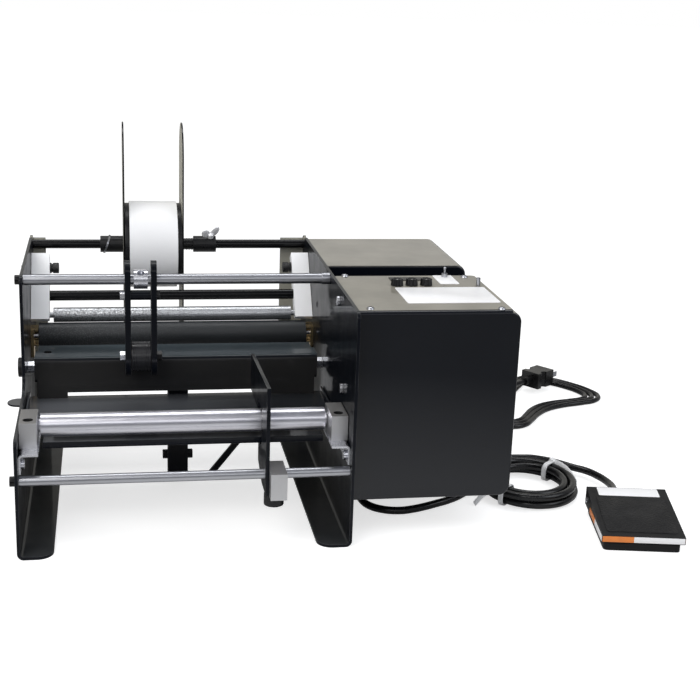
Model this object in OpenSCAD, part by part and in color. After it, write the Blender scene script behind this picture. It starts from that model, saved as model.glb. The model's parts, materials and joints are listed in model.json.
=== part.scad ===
// Bench labeling machine for bottles, with its foot pedal and cords.
// Millimetres, +Z up, front towards -Y, origin under the middle of the rear leg's foot.

/* [Frame] */
// Clear width between the side plates
inside_w = 290; // [280:1:320]
// Thickness of the side plates
sheet = 3; // [2:0.5:4]
// Height of the side plates
plate_h = 220; // [214:1:240]
// Depth of the side plates
plate_depth = 338; // [330:1:370]
// Front rod to the front edge of the plates
front_edge = 8; // [7:0.5:12]
// Front rod to the middle of the rear foot
foot_back = 177; // [172:1:190]
// Height of the left plate's low front part
shoulder_h = 110; // [104:1:114]
// Upper rod to the step in the left plate
step_ahead = 11; // [9:0.5:16]
// Fillet in the left plate's step
step_r = 20; // [10:1:30]
// Radius of the plates' outer corners
corner_r = 7; // [3:0.5:12]
// Width of the floor flanges
floor_flange = 28; // [20:1:34]
// Rounding of the floor flanges' front corners
flange_r = 14; // [8:1:18]
// Width of the left plate's rear flange
left_rear_flange = 13; // [8:1:20]
// Width of the right plate's rear flange
right_rear_flange = 25; // [12:1:34]

/* [Rods and leg] */
// Diameter of the upper rod
upper_rod_d = 10; // [8:0.5:12]
// Peel plate's front face to the upper rod, forward
upper_rod_ahead = 16.5; // [14:0.5:30]
// Plate top down to the upper rod
upper_rod_drop = 5; // [4.5:0.5:12]
// Diameter of the front rod
front_rod_d = 9; // [6.5:0.5:10]
// Height of the front rod
front_rod_h = 71; // [66:1:74]
// Diameter of the frame screws
screw_d = 5; // [4:0.5:6]
// Width of the rear leg
leg_w = 20; // [16:1:28]
// Width of the rear leg's foot
foot_w = 76; // [66:1:90]
// Depth of the rear leg's foot
foot_d = 16; // [16:1:24]
// Width of the bar that props the tray
stay_w = 5; // [4:0.5:8]

/* [Tray and peel plate] */
// Height of the tray's top
tray_h = 92; // [88:1:94]
// Thickness of the tray
tray_t = 2; // [1:0.5:2.5]
// Front rod to the tray's front edge
tray_front = 38; // [36:1:42]
// Depth of the tray
tray_depth = 131; // [128:1:134]
// Drop of the tray's front lip
tray_lip = 4; // [3:0.5:7.5]
// Drop of the tray's rear flange
tray_drop = 20; // [14:1:26]
// Height of the peel plate's top
peel_h = 133; // [130:1:136]
// Thickness of the peel plate
peel_t = 2.5; // [1.5:0.5:3]
// Drive roller to the peel plate's front face, forward
peel_ahead = 83; // [80:1:90]
// Depth of the peel plate's top
peel_depth = 45; // [34:1:50]
// Height of the peel plate's front face
peel_face_h = 35; // [28:1:36]
// Peel plate's ears to the side plates
peel_gap = 7; // [5:0.5:10]
// Diameter of the peel plate's clamp knob
peel_knob_d = 19; // [14:1:24]

/* [Front roller] */
// Diameter of the front roller
front_roller_d = 20.8; // [18:0.2:22]
// Diameter of its axle
front_axle_d = 8; // [6:0.5:10]
// Front rod to the front roller
front_roller_back = 45.5; // [44:0.5:48]
// Tray's top to the front roller's axis
front_roller_up = 14; // [12.5:0.5:18]
// Width of a bearing block
block_w = 15; // [12:0.5:18]
// Depth of a bearing block
block_d = 39; // [34:1:44]
// Height of a bearing block
block_h = 23.5; // [22:0.5:30]
// Tray's top to the shelves under the blocks
shelf_up = 2.5; // [1:0.5:4]
// Thickness of the brackets
bracket_t = 2; // [1.5:0.5:3]

/* [Drive] */
// Diameter of the drive roller's sleeve
sleeve_d = 26; // [22:0.5:28]
// Diameter of the drive shaft
shaft_d = 10; // [8:0.5:12]
// Roll spindle to the drive roller, forward
drive_ahead = 77; // [75:1:90]
// Height of the drive roller
drive_h = 133; // [130:1:136]
// Diameter of the belt pulleys
pulley_d = 30; // [24:1:34]
// Width of the belt
belt_w = 9; // [6:0.5:10]
// Thickness of the belt
belt_t = 2; // [1:0.5:2.5]
// Drive roller to motor, down
belt_drop = 62; // [58:1:62]
// Diameter of the motor
motor_d = 46; // [36:1:48]
// Length of the motor
motor_len = 62; // [40:1:70]

/* [Pinch frame] */
// Diameter of the pinch roller
pinch_d = 15; // [12:0.5:16]
// Lean of the lock blocks from upright
lock_lean = 37.7; // [34:0.1:40]
// Pinch roller to the lock screws, along a block
swing_len = 52.8; // [48:0.2:56]
// Pinch roller to the tie bar, along a block
tie_up = 21.5; // [18:0.5:26]
// Diameter of the tie bar
tie_d = 10.5; // [8:0.5:11]
// Thickness of a lock block
lock_t = 12; // [11:0.5:14]
// Width of a lock block
lock_w = 18.4; // [14:0.2:20]
// Diameter of the lock screws' heads
lock_head_d = 11; // [9:0.5:14]

/* [Label roll] */
// Width of the label roll
roll_w = 50; // [40:1:60]
// Outer diameter of the label roll
roll_d = 92; // [84:1:110]
// Bore of the roll's core
core_d = 76; // [70:1:78]
// Middle of the label roll across the machine
roll_mid = -19.2; // [-30:0.1:0]
// Diameter of the roll spindle
spindle_d = 9.5; // [6:0.5:10]
// Height of a roll guide
paddle_h = 260; // [200:5:280]
// Width of a roll guide
paddle_w = 70; // [50:1:80]
// Thickness of a roll guide
paddle_t = 1.6; // [1:0.2:3]
// Diameter of the spindle collars
collar_d = 17.4; // [15:0.2:22]
// Length of the spindle collars
collar_len = 24; // [18:1:30]

/* [Pressure arm] */
// Middle of the arm across the machine
arm_mid = -36.5; // [-60:0.1:0]
// Space between the arm's bars
arm_gap = 19; // [17:0.2:26]
// Thickness of an arm bar
bar_t = 5.5; // [3:0.5:6]
// Width of an arm bar
bar_w = 22; // [18:1:26]
// Upper rod to the arm roller
arm_len = 76; // [64:1:77]
// Diameter of the arm roller
arm_roller_d = 28; // [20:0.5:29]
// Diameter of the arm's bolts
arm_bolt_d = 6; // [5:0.5:8]

/* [Bottle guide] */
// Left face of the guide across the machine
guide_x = 67.8; // [20:0.1:80]
// Thickness of the guide plate
guide_t = 3.5; // [2:0.5:4]
// Width of the clamp block
clamp_w = 14.6; // [12:0.1:20]
// Height of the guide's front top corner
guide_h = 153; // [135:1:165]
// Peel plate's front face to the guide's rear edge, forward
guide_short = 34; // [33:1:60]
// Diameter of the clamp knob
guide_knob_d = 18; // [14:1:24]

/* [Boxes] */
// Height of the boxes' undersides
box_base = 39; // [36:1:42]
// Wall of the boxes
box_wall = 2; // [1.5:0.5:3]
// Rounding of the boxes' long edges
box_r = 10; // [4:1:16]
// Width of the control box
control_w = 150; // [140:1:170]
// Depth of the control box
control_d = 138; // [134:1:140]
// Top of the control box's panel
control_top = 217; // [205:1:225]
// Width of the drive box
drive_w = 143; // [136:1:170]
// Depth of the drive box
drive_d = 133; // [128:1:145]
// Top of the drive box
drive_top = 219.5; // [212:0.5:230]
// Drive roller to the drive box's front, forward
drive_box_ahead = 65; // [60:1:70]
// Space between the two boxes
box_gap = 33; // [20:1:40]
// Diameter of the control knobs
knob_d = 12; // [9:0.5:13]
// Height of the control knobs
knob_h = 6.5; // [5:0.5:12]

/* [Pedal] */
// Middle of the pedal across the machine
pedal_x = 420.8; // [400:0.1:480]
// Front rod to the middle of the pedal, forward
pedal_ahead = 0.5; // [0:0.1:20]
// Width of the pedal
pedal_w = 77; // [66:1:84]
// Length of the pedal
pedal_len = 93; // [84:1:98]
// Thickness of the pedal's base
pedal_base_h = 7; // [6:0.5:8]
// Height of the tread's front
tread_front_h = 16; // [15.5:0.5:20]
// Height of the tread's back
tread_back_h = 26; // [25:0.5:30]

/* [Cords] */
// Diameter of the pedal cord
pedal_cord_d = 7.5; // [6:0.1:7.6]
// Diameter of the power cord
power_cord_d = 6; // [4:0.1:6.2]

/* [Hidden] */
$fn = 48;

// Clearances: running fit, room between parts that move apart, and cut overshoot.
run = 0.05;
room = 0.3;
cut = 1;

// Side plates and rods.
half = inside_w / 2;
outer = half + sheet;
front_y = -foot_back;
plate_y0 = front_y - front_edge;
plate_y1 = plate_y0 + plate_depth;
spindle_edge = 10;
spindle_y = plate_y1 - spindle_edge;
drive_y = spindle_y - drive_ahead;
peel_y0 = drive_y - peel_ahead;
upper_y = peel_y0 - upper_rod_ahead;
upper_z = plate_h - upper_rod_drop;
step_y = upper_y - step_ahead;
rear_corner_r = 3;
head_d = 9;
head_h = 4.5;
screw_in = 12;
rod_sleeve_d = upper_rod_d + 1.5;
rod_sleeve_w = 8;

// Tray, with its tab through the left plate.
tray_y0 = front_y + tray_front;
tray_y1 = tray_y0 + tray_depth;
tray_ear_y = front_y + 75;
tray_ear_len = 90;
tray_ear_up = 8;
tray_gap = 0.5;
tab_y = front_y + 142;
tab_w = 22;
tab_out = 16;

// Peel plate and its clamp.
peel_ear_len = 30;
peel_ear_h = 25;
peel_bolt_y = peel_y0 + 12;
peel_bolt_z = peel_h - 12;
peel_bolt_d = 6;
peel_knob_w = 5.5;
peel_half = half - peel_gap;
peel_hole_y = peel_y0 + 21.5;
peel_foot_gap = 0.5;
peel_foot_in = [28.5, 51.5];
nut_d = 11.5;
nut_w = 5;

// Rear leg behind the tray's rear flange.
leg_t = 2;
leg_y = tray_y1;
leg_side = 14;
foot_t = 2;
leg_top = tray_h + 8;
stay_foot_x = 26;
stay_top_x = 92;
leg_bolt_z = 25;
leg_bolt_y = leg_y + 8;

// Front roller, its blocks and brackets.
front_roller_y = front_y + front_roller_back;
front_roller_h = tray_h + front_roller_up;
block_x0 = half - 0.5 - block_w;
block_y0 = front_roller_y - 30.5;
block_z0 = tray_h + shelf_up;
block_bolt_y = block_y0 + 10;
block_bolt_x = block_x0 + block_w / 2;
block_bolt_d = 5;
bore_head_d = 9;
bore_head_depth = 10;
bracket_ahead = 14;
bracket_behind = 6;
bracket_y0 = block_y0 - bracket_ahead;
bracket_len = bracket_ahead + block_d + bracket_behind;
bracket_drop = 18;
bracket_shelf = block_w + 2;
bracket_screw_z = block_z0 - 12;
bracket_screws = [bracket_y0 + 10, bracket_y0 + bracket_len - 10];

// Drive roller, bearings and belt drive.
sleeve_half = half - 8;
bearing_t = 3;
bearing_reach = 7.5;
bearing_lip = 2.2;
bearing_d = 18;
bearing_up = 8.8;
bearing_down = 21;
motor_z = drive_h - belt_drop;
motor_shaft_d = 8;
pulley_x = outer + 8;
pulley_rim = 1.5;
pulley_flange_d = pulley_d + 4;
pulley_w = belt_w + 2 * pulley_rim + 1;
shaft_end = pulley_x + pulley_w + 2;
motor_face = shaft_end + 4;
motor_flange = 54;
motor_flange_t = 6;
motor_pillar_d = 8;
motor_pillar_at = 22;
gearhead_d = 50;
gearhead_len = 20;

// Pinch frame: the pinch roller rests above the drive roller, the blocks lean back to the lock screws.
nip_angle = 71;
nip = (sleeve_d + pinch_d) / 2 + room;
pinch_y = drive_y + nip * cos(nip_angle);
pinch_z = drive_h + nip * sin(nip_angle);
lock_y = pinch_y + swing_len * sin(lock_lean);
lock_z = pinch_z + swing_len * cos(lock_lean);
lock_x1 = half - room;
lock_x0 = lock_x1 - lock_w;
lock_over = 14.5;
lock_under = 7;
lock_screw_d = 6;
lock_head_w = 9;
pinch_axle_d = 6;
pinch_half = lock_x0 - 4;

// Label roll, its guides and its collars.
spindle_z = plate_h - 8;
roll_x0 = roll_mid - roll_w / 2;
roll_x1 = roll_mid + roll_w / 2;
hub_d = core_d - 2 * run;
hub_lip = 4.5;
hub_flange = 2;
hub_rim = 6;
hub_web = 4;
hub_boss_d = 22;
paddle_left = roll_x0 - hub_lip - room;
paddle_right = roll_x1 + hub_lip + room;
neck_len = 12;
neck_d = 12;
wing_x = paddle_right + paddle_t + neck_len + collar_len - 6;
wing_d = 4;
wing_lean = 25;

// Pressure arm on the upper rod.
arm_x0 = arm_mid - arm_gap / 2 - bar_t;
arm_x1 = arm_mid + arm_gap / 2 + bar_t;
arm_over = 7;
arm_tail = 8;
arm_roller_z = upper_z - arm_len;
arm_spacer_d = 9;
arm_collar_d = 18.5;
arm_spacer_z = upper_z - (arm_collar_d + arm_spacer_d) / 2 - 0.5;
arm_collar_w = 13;
arm_set_d = 6.5;
arm_set_lean = 35;

// Bottle guide on the front rod: the plate steps over the front roller.
guide_front = 8;
guide_reach = peel_y0 - guide_short - front_y;
guide_rear_h = 145;
guide_flag_z = 110;
guide_foot_len = 54;
guide_toe = 22;
guide_toe_z = 64;
guide_stem = front_roller_back - front_roller_d / 2 - 5;
guide_over_y = front_roller_back + front_roller_d / 2 + 8;
guide_over_z = front_roller_h + front_roller_d / 2 + 4;
guide_under_z = tray_h - tray_t - tray_lip - 2;
clamp_x0 = guide_x + guide_t;
clamp_mid = clamp_x0 + 5.2;
clamp_ahead = 20;
clamp_behind = 14;
clamp_z0 = front_rod_h - 18;
guide_foot_z = clamp_z0 + room;
clamp_z1 = front_rod_h + 6.5;
guide_screw_d = 6;
guide_knob_h = 11;

// Boxes on the right plate.
drive_box_y0 = drive_y - drive_box_ahead;
control_y0 = drive_box_y0 - box_gap - control_d;
control_x1 = outer + control_w;
drive_box_y1 = drive_box_y0 + drive_d;
drive_x1 = outer + drive_w;
box_rim = 5;
panel_t = 1.6;
panel_in = 1;
panel_edge = box_r - 2;
panel_z = control_top - panel_t;
post_d = 8;
post_len = 14;
post_x = [outer + 12, control_x1 - 17];
post_y = [control_y0 + 7, control_y0 + control_d - 7];
post_hole_d = 3;
knob_y = control_y0 + 97;
knob_x = [outer + 55.5, outer + 69.7, outer + 83.9];
knob_shaft_d = 4;
bushing_d = 7;
pot_d = 13;
pot_h = 9;
pot_stem = 8;
strip_x = outer + 53.5;
strip_w = 33;
strip_y = control_y0 + 116;
strip_d = 12;
strip_h = 0.8;
toggle_x = outer + 110;
toggle_y = control_y0 + 130;
toggle_bush_d = 6;
toggle_bush_h = 4;
toggle_ball_d = 3.6;
toggle_len = 7;
stop_x = outer + 134;
stop_y = control_y0 + 93;
board_x = outer + 12;
board_t = 1.6;
board_y = control_y0 + 22;
board_d = 90;
board_z = box_base + 25;
board_h = 120;
standoff_d = 7;
standoff_in = 8;
box_screws = [[control_y0 + 75, plate_h - 12], [control_y0 + 43, box_base + 94]];

// Pedal: the tread is hinged near its back, in the pedal's own frame.
pedal_at = [pedal_x, front_y - pedal_ahead, 0];
pedal_turn = -10.5;
tread_wall = 2;
tread_top = 3;
tread_lift = 2;
tread_back_lift = 1.5;
pedal_inset = 1;
pedal_wall = 3;
pedal_base_w = pedal_w - 2 * (tread_wall + pedal_inset);
pedal_base_len = pedal_len - 2 * (tread_wall + pedal_inset);
pin_d = 5;
pin_y = pedal_len / 2 - 8;
pin_z = pedal_base_h + 8;
lug_w = 6;
spring_y = -10;
spring_d = 12;
spring_wall = 1.5;
gland_x = -8;
gland_d = 11;
gland_z = pedal_base_h + gland_d / 2 + room;
gland_len = 12;
switch_size = [20, 7, 8];

// Cord glands on the drive box.
lead_gland = [175, 78];
lead_gland_d = 14;
lead_gland_h = 6;
power_gland = [262, 52];
power_gland_d = 12;
power_gland_len = 10;

// Pedal cord: routes, and a coil of two layers held by ties.
tie_t = 1.2;
tie_w = 4;
pedal_cord_r = pedal_cord_d / 2;
coil_at = [350, -68];
coil_r = 51;
coil_stretch = 1.12;
coil_from = 150;
coil_turns = 4 + 65 / 360;
coil_step = 8.5;
coil_lift = 8.4;
coil_z = pedal_cord_r + tie_t + 0.2;
coil_rings = 24;
coil_back = (coil_turns - 0.5) / 2;
function coil_wind(t) = t < coil_back ? t : t > coil_back + 0.5 ? coil_turns - t : coil_back;
function coil_climb(t) = min(1, max(0, (t - coil_back) / 0.5));
function coil_angle(t) = coil_from - 360 * t;
function ease(u) = u * u * (3 - 2 * u);
function coil_point(t) = [
    coil_at[0] + (coil_r - coil_step * coil_wind(t)) * cos(coil_angle(t)),
    coil_at[1] + coil_stretch * (coil_r - coil_step * coil_wind(t)) * sin(coil_angle(t)),
    coil_z + coil_lift * coil_climb(t)
];
function coil_heading(t) = let (v = [sin(coil_angle(t)), -coil_stretch * cos(coil_angle(t)), 0]) v / norm(v);
coil_count = ceil(coil_turns * coil_rings);
coil_loop = [for (i = [0 : coil_count]) coil_point(coil_turns * i / coil_count)];
coil_in = coil_point(0) - pedal_cord_d * coil_heading(0);
coil_out = coil_point(coil_turns) + pedal_cord_d * coil_heading(coil_turns);
coil_points = concat([coil_in], coil_loop, [coil_out]);
pedal_dir = [sin(-pedal_turn), cos(-pedal_turn), 0];
pedal_entry = pedal_at + [
    gland_x * cos(pedal_turn) - (pedal_len / 2 + gland_len) * sin(pedal_turn),
    gland_x * sin(pedal_turn) + (pedal_len / 2 + gland_len) * cos(pedal_turn),
    gland_z
];
lead_points = concat([
    [lead_gland[0], lead_gland[1], box_base - lead_gland_h],
    [175, 78, 32.4], [175, 77, 25], [175, 74.2, 18.2], [175, 69.7, 12.3], [175, 63.8, 7.8],
    [175, 57, 5], [175, 49.6, 4], [175, 30, 4], [175, 10, 4], [175, -10, 4],
    [175, -30, 4], [175, -50, 4], [175, -68, 4], [175, -84, 4], [179.3, -100, 4], [191, -111.7, 4],
    [207, -116, 4], [219, -114, 4], [233, -108.8, 4], [247, -102, 4], [261, -94.5, 4], [276, -84, 4.5],
    [290, -69, 5]
], [coil_in - pedal_cord_d * coil_heading(0), coil_in]);
tail_points = concat([coil_out, coil_out + pedal_cord_d * coil_heading(coil_turns)], [
    [384, -15, 12], [399, -21, 10], [412, -29, 8], [423, -40, 8], [430, -54, 8], [434, -69, 8],
    [434, -85, 9], [430, -100, 11]
], [pedal_entry + pedal_cord_d * pedal_dir, pedal_entry]);

// Power cord: a lead off the back, and a hank of flat loops drawn in at the waist.
power_cord_r = power_cord_d / 2;
hank_at = [430, 204];
hank_turn = 36;
hank_turns = 3;
hank_half = 104;
hank_waist = 42;
hank_bulge = 84;
hank_half_step = 6.8;
hank_waist_step = 6.8;
hank_bulge_step = 6;
hank_rise = 13.6;
hank_rings = 24;
hank_z = power_cord_r + 0.2;
hank_tail = 30;
function hank_local(t) = let (a = 90 - 360 * t) [
    (hank_half - hank_half_step * t) * cos(a),
    sin(a) * (hank_waist - hank_waist_step * t + (hank_bulge - hank_bulge_step * t) * cos(a) ^ 2),
    hank_z + hank_rise * ease(min(1, max(0, (t - hank_turns + 0.2) / 0.2)))
];
function hank_place(p) = [
    hank_at[0] + p[0] * cos(hank_turn) - p[1] * sin(hank_turn),
    hank_at[1] + p[0] * sin(hank_turn) + p[1] * cos(hank_turn),
    p[2]
];
hank_count = hank_turns * hank_rings;
hank_end = hank_local(hank_turns);
hank_start = hank_local(0);
plug_at = hank_end + [hank_tail, 0, 0];
hank_heading = [cos(hank_turn), sin(hank_turn), 0];
hank_in = hank_place(hank_start) - power_cord_d * hank_heading;
hank_loop = [for (i = [0 : hank_count]) hank_place(hank_local(hank_turns * i / hank_count))];
hank_points = concat([hank_in], hank_loop, [
    hank_place(plug_at - [power_cord_d, 0, 0]),
    hank_place(plug_at)
]);
power_points = concat([
    [power_gland[0], drive_box_y1 + power_gland_len, power_gland[1]],
    [262, 145, 52], [262, 153, 50.6], [262, 163, 45], [263, 174, 34], [265, 184, 22],
    [269, 192, 11], [278, 199, 5], [291, 206, 3.2], [306, 212, 3.2], [322, 217, 3.2], [339, 220, 3.2],
    [357, 222, 3.2], [376, 226, 3.2]
], [hank_in - power_cord_d * hank_heading, hank_in]);
plug_relief_len = 12;
plug_relief_d = 11;
plug_len = 32;
plug_w = 26;
plug_h = 20;
blade_len = 16;
blade_w = 6.3;
blade_t = 1.5;
blade_apart = 12.7;
earth_d = 4.8;

// Least gap between loops that pass each other, over half a turn apart along the tube.
function self_gap(points, apart, d) = min([
    for (i = [0 : len(points) - 1])
        for (j = [i + apart : 1 : len(points) - 1]) norm(points[i] - points[j])
]) - d;
echo(pedal_coil_gap = self_gap(coil_loop, coil_rings / 2, pedal_cord_d));
echo(power_hank_gap = self_gap(hank_loop, hank_rings / 2, power_cord_d));

// A round bar across the machine, from one X to another.
module bar(d, x0, x1, y, z, sides = 48) {
    translate([x0, y, z]) rotate([0, 90, 0]) cylinder(d = d, h = x1 - x0, $fn = sides);
}

// A flat outline in Y and Z, thickened along X.
module slab(x0, t) {
    translate([x0, 0, 0]) rotate([90, 0, 90]) linear_extrude(t) children();
}

// A flat outline in X and Z, thickened along Y.
module wall(y0, t) {
    translate([0, y0 + t, 0]) rotate([90, 0, 0]) linear_extrude(t) children();
}

// The piece between a square corner and its rounding, to take away or to fill in.
module corner(r) {
    difference() {
        translate([-cut, -cut]) square(r + cut);
        translate([r, r]) circle(r);
    }
}

// A rectangle with one radius on its corners.
module round_rect(w, h, r) {
    translate([r, 0]) square([w - 2 * r, h]);
    translate([0, r]) square([w, h - 2 * r]);
    for (x = [r, w - r])
        for (y = [r, h - r])
            translate([x, y]) circle(r);
}

// Both sides of the machine.
module both_sides() {
    children();
    mirror([1, 0, 0]) children();
}

// Right-angled sheet section with a rounded bend at the origin.
module angle_section(w, h, t, r) {
    translate([r, 0]) square([w - r, t]);
    translate([0, r]) square([t, h - r]);
    intersection() {
        difference() {
            translate([r, r]) circle(r);
            translate([r, r]) circle(r - t);
        }
        square(r);
    }
}

// A tube swept along points, with round ends cut square to the first and last steps.
function along(points, i) =
    let (a = points[max(i - 1, 0)], b = points[min(i + 1, len(points) - 1)]) (b - a) / norm(b - a);
function squared(v, axis) = let (w = v - (v * axis) * axis) w / norm(w);
function carried(points, i, normal) = i >= len(points) ? normal : squared(normal, along(points, i));
module tube(points, r, sides, first) {
    last = len(points) - 1;
    normals = [
        for (i = 0, n = squared(first, along(points, 0)); i <= last; i = i + 1, n = carried(points, i, n)) n
    ];
    rings = [
        for (i = [0 : last])
            for (k = [0 : sides - 1])
                let (a = 360 * k / sides, n = normals[i], b = cross(along(points, i), n))
                    points[i] + r * (cos(a) * n + sin(a) * b)
    ];
    sides_of = [
        for (i = [0 : last - 1])
            for (k = [0 : sides - 1])
                let (p = i * sides + k, q = i * sides + (k + 1) % sides)
                    each [[p, p + sides, q], [q, p + sides, q + sides]]
    ];
    start_cap = [for (k = [1 : sides - 2]) [0, k, k + 1]];
    end_cap = [for (k = [1 : sides - 2]) [last * sides, last * sides + k + 1, last * sides + k]];
    polyhedron(rings, concat(sides_of, start_cap, end_cap));
}

// Outlines of the two side plates in Y and Z.
module left_outline() {
    difference() {
        union() {
            translate([plate_y0, 0]) square([plate_depth, shoulder_h]);
            translate([step_y, 0]) square([plate_y1 - step_y, plate_h]);
            translate([step_y, shoulder_h]) rotate(90) corner(step_r);
        }
        translate([plate_y0, shoulder_h]) rotate(-90) corner(corner_r);
        translate([step_y, plate_h]) rotate(-90) corner(corner_r);
        translate([plate_y1, plate_h]) rotate(180) corner(rear_corner_r);
    }
}

module right_outline() {
    difference() {
        translate([plate_y0, 0]) square([plate_depth, plate_h]);
        translate([plate_y0, plate_h]) rotate(-90) corner(corner_r);
        translate([plate_y1, plate_h]) rotate(180) corner(rear_corner_r);
    }
}

// A left-hand side plate: bent floor flange, rear flange and holes; children give the outline.
module side_sheet(rear_flange) {
    bend_r = 2 * sheet;
    difference() {
        union() {
            intersection() {
                translate([-outer, 0, 0])
                    wall(plate_y0, plate_depth)
                        angle_section(floor_flange + sheet, plate_h, sheet, bend_r);
                slab(-outer - cut, floor_flange + sheet + 2 * cut) children();
            }
            translate([-half - cut, plate_y1 - sheet, bend_r])
                cube([rear_flange + cut, sheet, plate_h - rear_corner_r - bend_r]);
        }
        translate([-half + floor_flange, plate_y0, -cut])
            linear_extrude(sheet + 2 * cut) rotate(90) corner(flange_r);
        bar(screw_d + 2 * run, -outer - cut, -half + cut, front_y, front_rod_h);
        bar(screw_d + 2 * run, -outer - cut, -half + cut, upper_y, upper_z);
        bar(shaft_d + 2 * room, -outer - cut, -half + cut, drive_y, drive_h);
        bar(lock_screw_d + 2 * run, -outer - cut, -half + cut, lock_y, lock_z);
        bar(peel_bolt_d + 2 * run, -outer - cut, -half + cut, peel_bolt_y, peel_bolt_z);
        for (y = bracket_screws)
            bar(screw_d + 2 * run, -outer - cut, -half + cut, y, bracket_screw_z);
        slab(-outer - cut, sheet + 2 * cut) {
            translate([spindle_y, spindle_z]) circle(d = spindle_d + 2 * run);
            translate([spindle_y - spindle_d / 2 - run, spindle_z])
                square([spindle_d + 2 * run, plate_h - spindle_z + cut]);
        }
    }
}

module left_side_plate() {
    color("#1d1e20") difference() {
        side_sheet(left_rear_flange) left_outline();
        translate([-outer - cut, tab_y - room, tray_h - tray_t - room])
            cube([sheet + 2 * cut, tab_w + 2 * room, tray_t + 2 * room]);
    }
}

module right_side_plate() {
    web_hole_d = 7;
    color("#1d1e20") difference() {
        mirror([1, 0, 0]) side_sheet(right_rear_flange) right_outline();
        bar(web_hole_d, half - cut, outer + cut, drive_y - 27, plate_h - 50);
        for (p = box_screws)
            bar(screw_d + 2 * run, half - cut, outer + cut, p[0], p[1]);
    }
}

// Tray with a front lip, a rear flange, upright ears and the tab that seats in the left plate.
module tray() {
    notch_x = half - bracket_shelf - 2;
    notch_y = bracket_y0 + bracket_len + 2;
    color("#232426") difference() {
        union() {
            translate([-half + tray_gap, tray_y0, tray_h - tray_t])
                cube([inside_w - 2 * tray_gap, tray_depth, tray_t]);
            translate([-notch_x, tray_y0, tray_h - tray_t - tray_lip])
                cube([2 * notch_x, tray_t, tray_lip + tray_t]);
            translate([-half + tray_gap, tray_y1 - tray_t, tray_h - tray_t - tray_drop])
                cube([inside_w - 2 * tray_gap, tray_t, tray_drop + tray_t]);
            both_sides()
                translate([half - tray_gap - tray_t, tray_ear_y, tray_h - tray_t])
                    cube([tray_t, tray_ear_len - tray_gap, tray_ear_up]);
            translate([-outer - tab_out, tab_y, tray_h - tray_t]) linear_extrude(tray_t) {
                translate([tab_w / 2, tab_w / 2]) circle(d = tab_w);
                translate([tab_w / 2, 0]) square([tab_out + sheet - tab_w / 2 + cut, tab_w]);
            }
        }
        both_sides()
            translate([notch_x, tray_y0 - cut, tray_h - tray_t - tray_lip - cut])
                cube([half, notch_y - tray_y0 + cut, tray_lip + tray_t + 2 * cut]);
    }
}

// Peel plate: top and front face in one bent sheet, with ears bolted to the side plates over spacer nuts.
// The face has a foot at each end, and the web passes back between them, over the tray.
module peel_plate() {
    bend_r = 2 * peel_t;
    hole_d = 8;
    color("#26272a") difference() {
        union() {
            slab(-peel_half + peel_t, 2 * (peel_half - peel_t))
                translate([peel_y0, peel_h]) mirror([0, 1])
                    angle_section(peel_depth, peel_face_h, peel_t, bend_r);
            for (foot = [[-peel_half + peel_t, peel_foot_in[0]],
                         [peel_half - peel_t - peel_foot_in[1], peel_foot_in[1]]])
                translate([foot[0], peel_y0, tray_h + peel_foot_gap])
                    cube([foot[1], peel_t, peel_h - peel_face_h - tray_h - peel_foot_gap + peel_t]);
            both_sides() slab(peel_half - peel_t, peel_t)
                translate([peel_y0, peel_h - peel_ear_h])
                    round_rect(peel_ear_len, peel_ear_h, bend_r);
        }
        both_sides()
            bar(peel_bolt_d + 2 * run, peel_half - peel_t - cut, peel_half + cut, peel_bolt_y, peel_bolt_z);
        translate([-peel_half + 12, peel_hole_y, peel_h - peel_t - cut])
            cylinder(d = hole_d, h = peel_t + 2 * cut);
    }
}

// Screws and nuts that hold the frame together, one group of loose solids.
module frame_screws() {
    tip = 6;
    color("#c4c6c8") {
        for (p = [[front_y, front_rod_h], [upper_y, upper_z]]) {
            bar(head_d, -outer - head_h, -outer, p[0], p[1]);
            bar(screw_d, -outer - cut, -half + screw_in - cut, p[0], p[1]);
        }
        both_sides() difference() {
            bar(nut_d, outer, outer + nut_w, lock_y, lock_z, 6);
            bar(lock_screw_d + 2 * run, outer - cut, outer + nut_w + cut, lock_y, lock_z);
        }
        for (x = [-half, -peel_half + peel_t]) difference() {
            bar(nut_d, x, x < -peel_half ? -peel_half : x + nut_w, peel_bolt_y, peel_bolt_z, 6);
            bar(peel_bolt_d + 2 * run, -half - cut, -peel_half + peel_t + nut_w + cut,
                peel_bolt_y, peel_bolt_z);
        }
        bar(nut_d, outer, outer + nut_w, peel_bolt_y, peel_bolt_z, 6);
        bar(peel_bolt_d, peel_half - peel_t - cut, outer + cut, peel_bolt_y, peel_bolt_z);
        bar(nut_d, peel_half, half, peel_bolt_y, peel_bolt_z, 6);
        bar(nut_d, peel_half - peel_t - nut_w, peel_half - peel_t, peel_bolt_y, peel_bolt_z, 6);
        both_sides() for (y = bracket_screws) {
            bar(head_d, half - bracket_t - 3, half - bracket_t, y, bracket_screw_z);
            bar(screw_d, half - bracket_t - cut, outer, y, bracket_screw_z);
        }
        both_sides() translate([block_bolt_x, block_bolt_y, 0]) {
            translate([0, 0, block_z0 + block_h - bore_head_depth])
                cylinder(d = head_d - 0.5, h = head_h);
            translate([0, 0, block_z0 - bracket_t - tip])
                cylinder(d = block_bolt_d, h = block_h - bore_head_depth + bracket_t + tip + cut);
            translate([0, 0, block_z0 - bracket_t - nut_w])
                cylinder(d = nut_d - 2, h = nut_w, $fn = 6);
        }
        for (p = box_screws) {
            bar(head_d, half - 3, half, p[0], p[1]);
            bar(screw_d, half - cut, outer + tip, p[0], p[1]);
        }
    }
}

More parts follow.
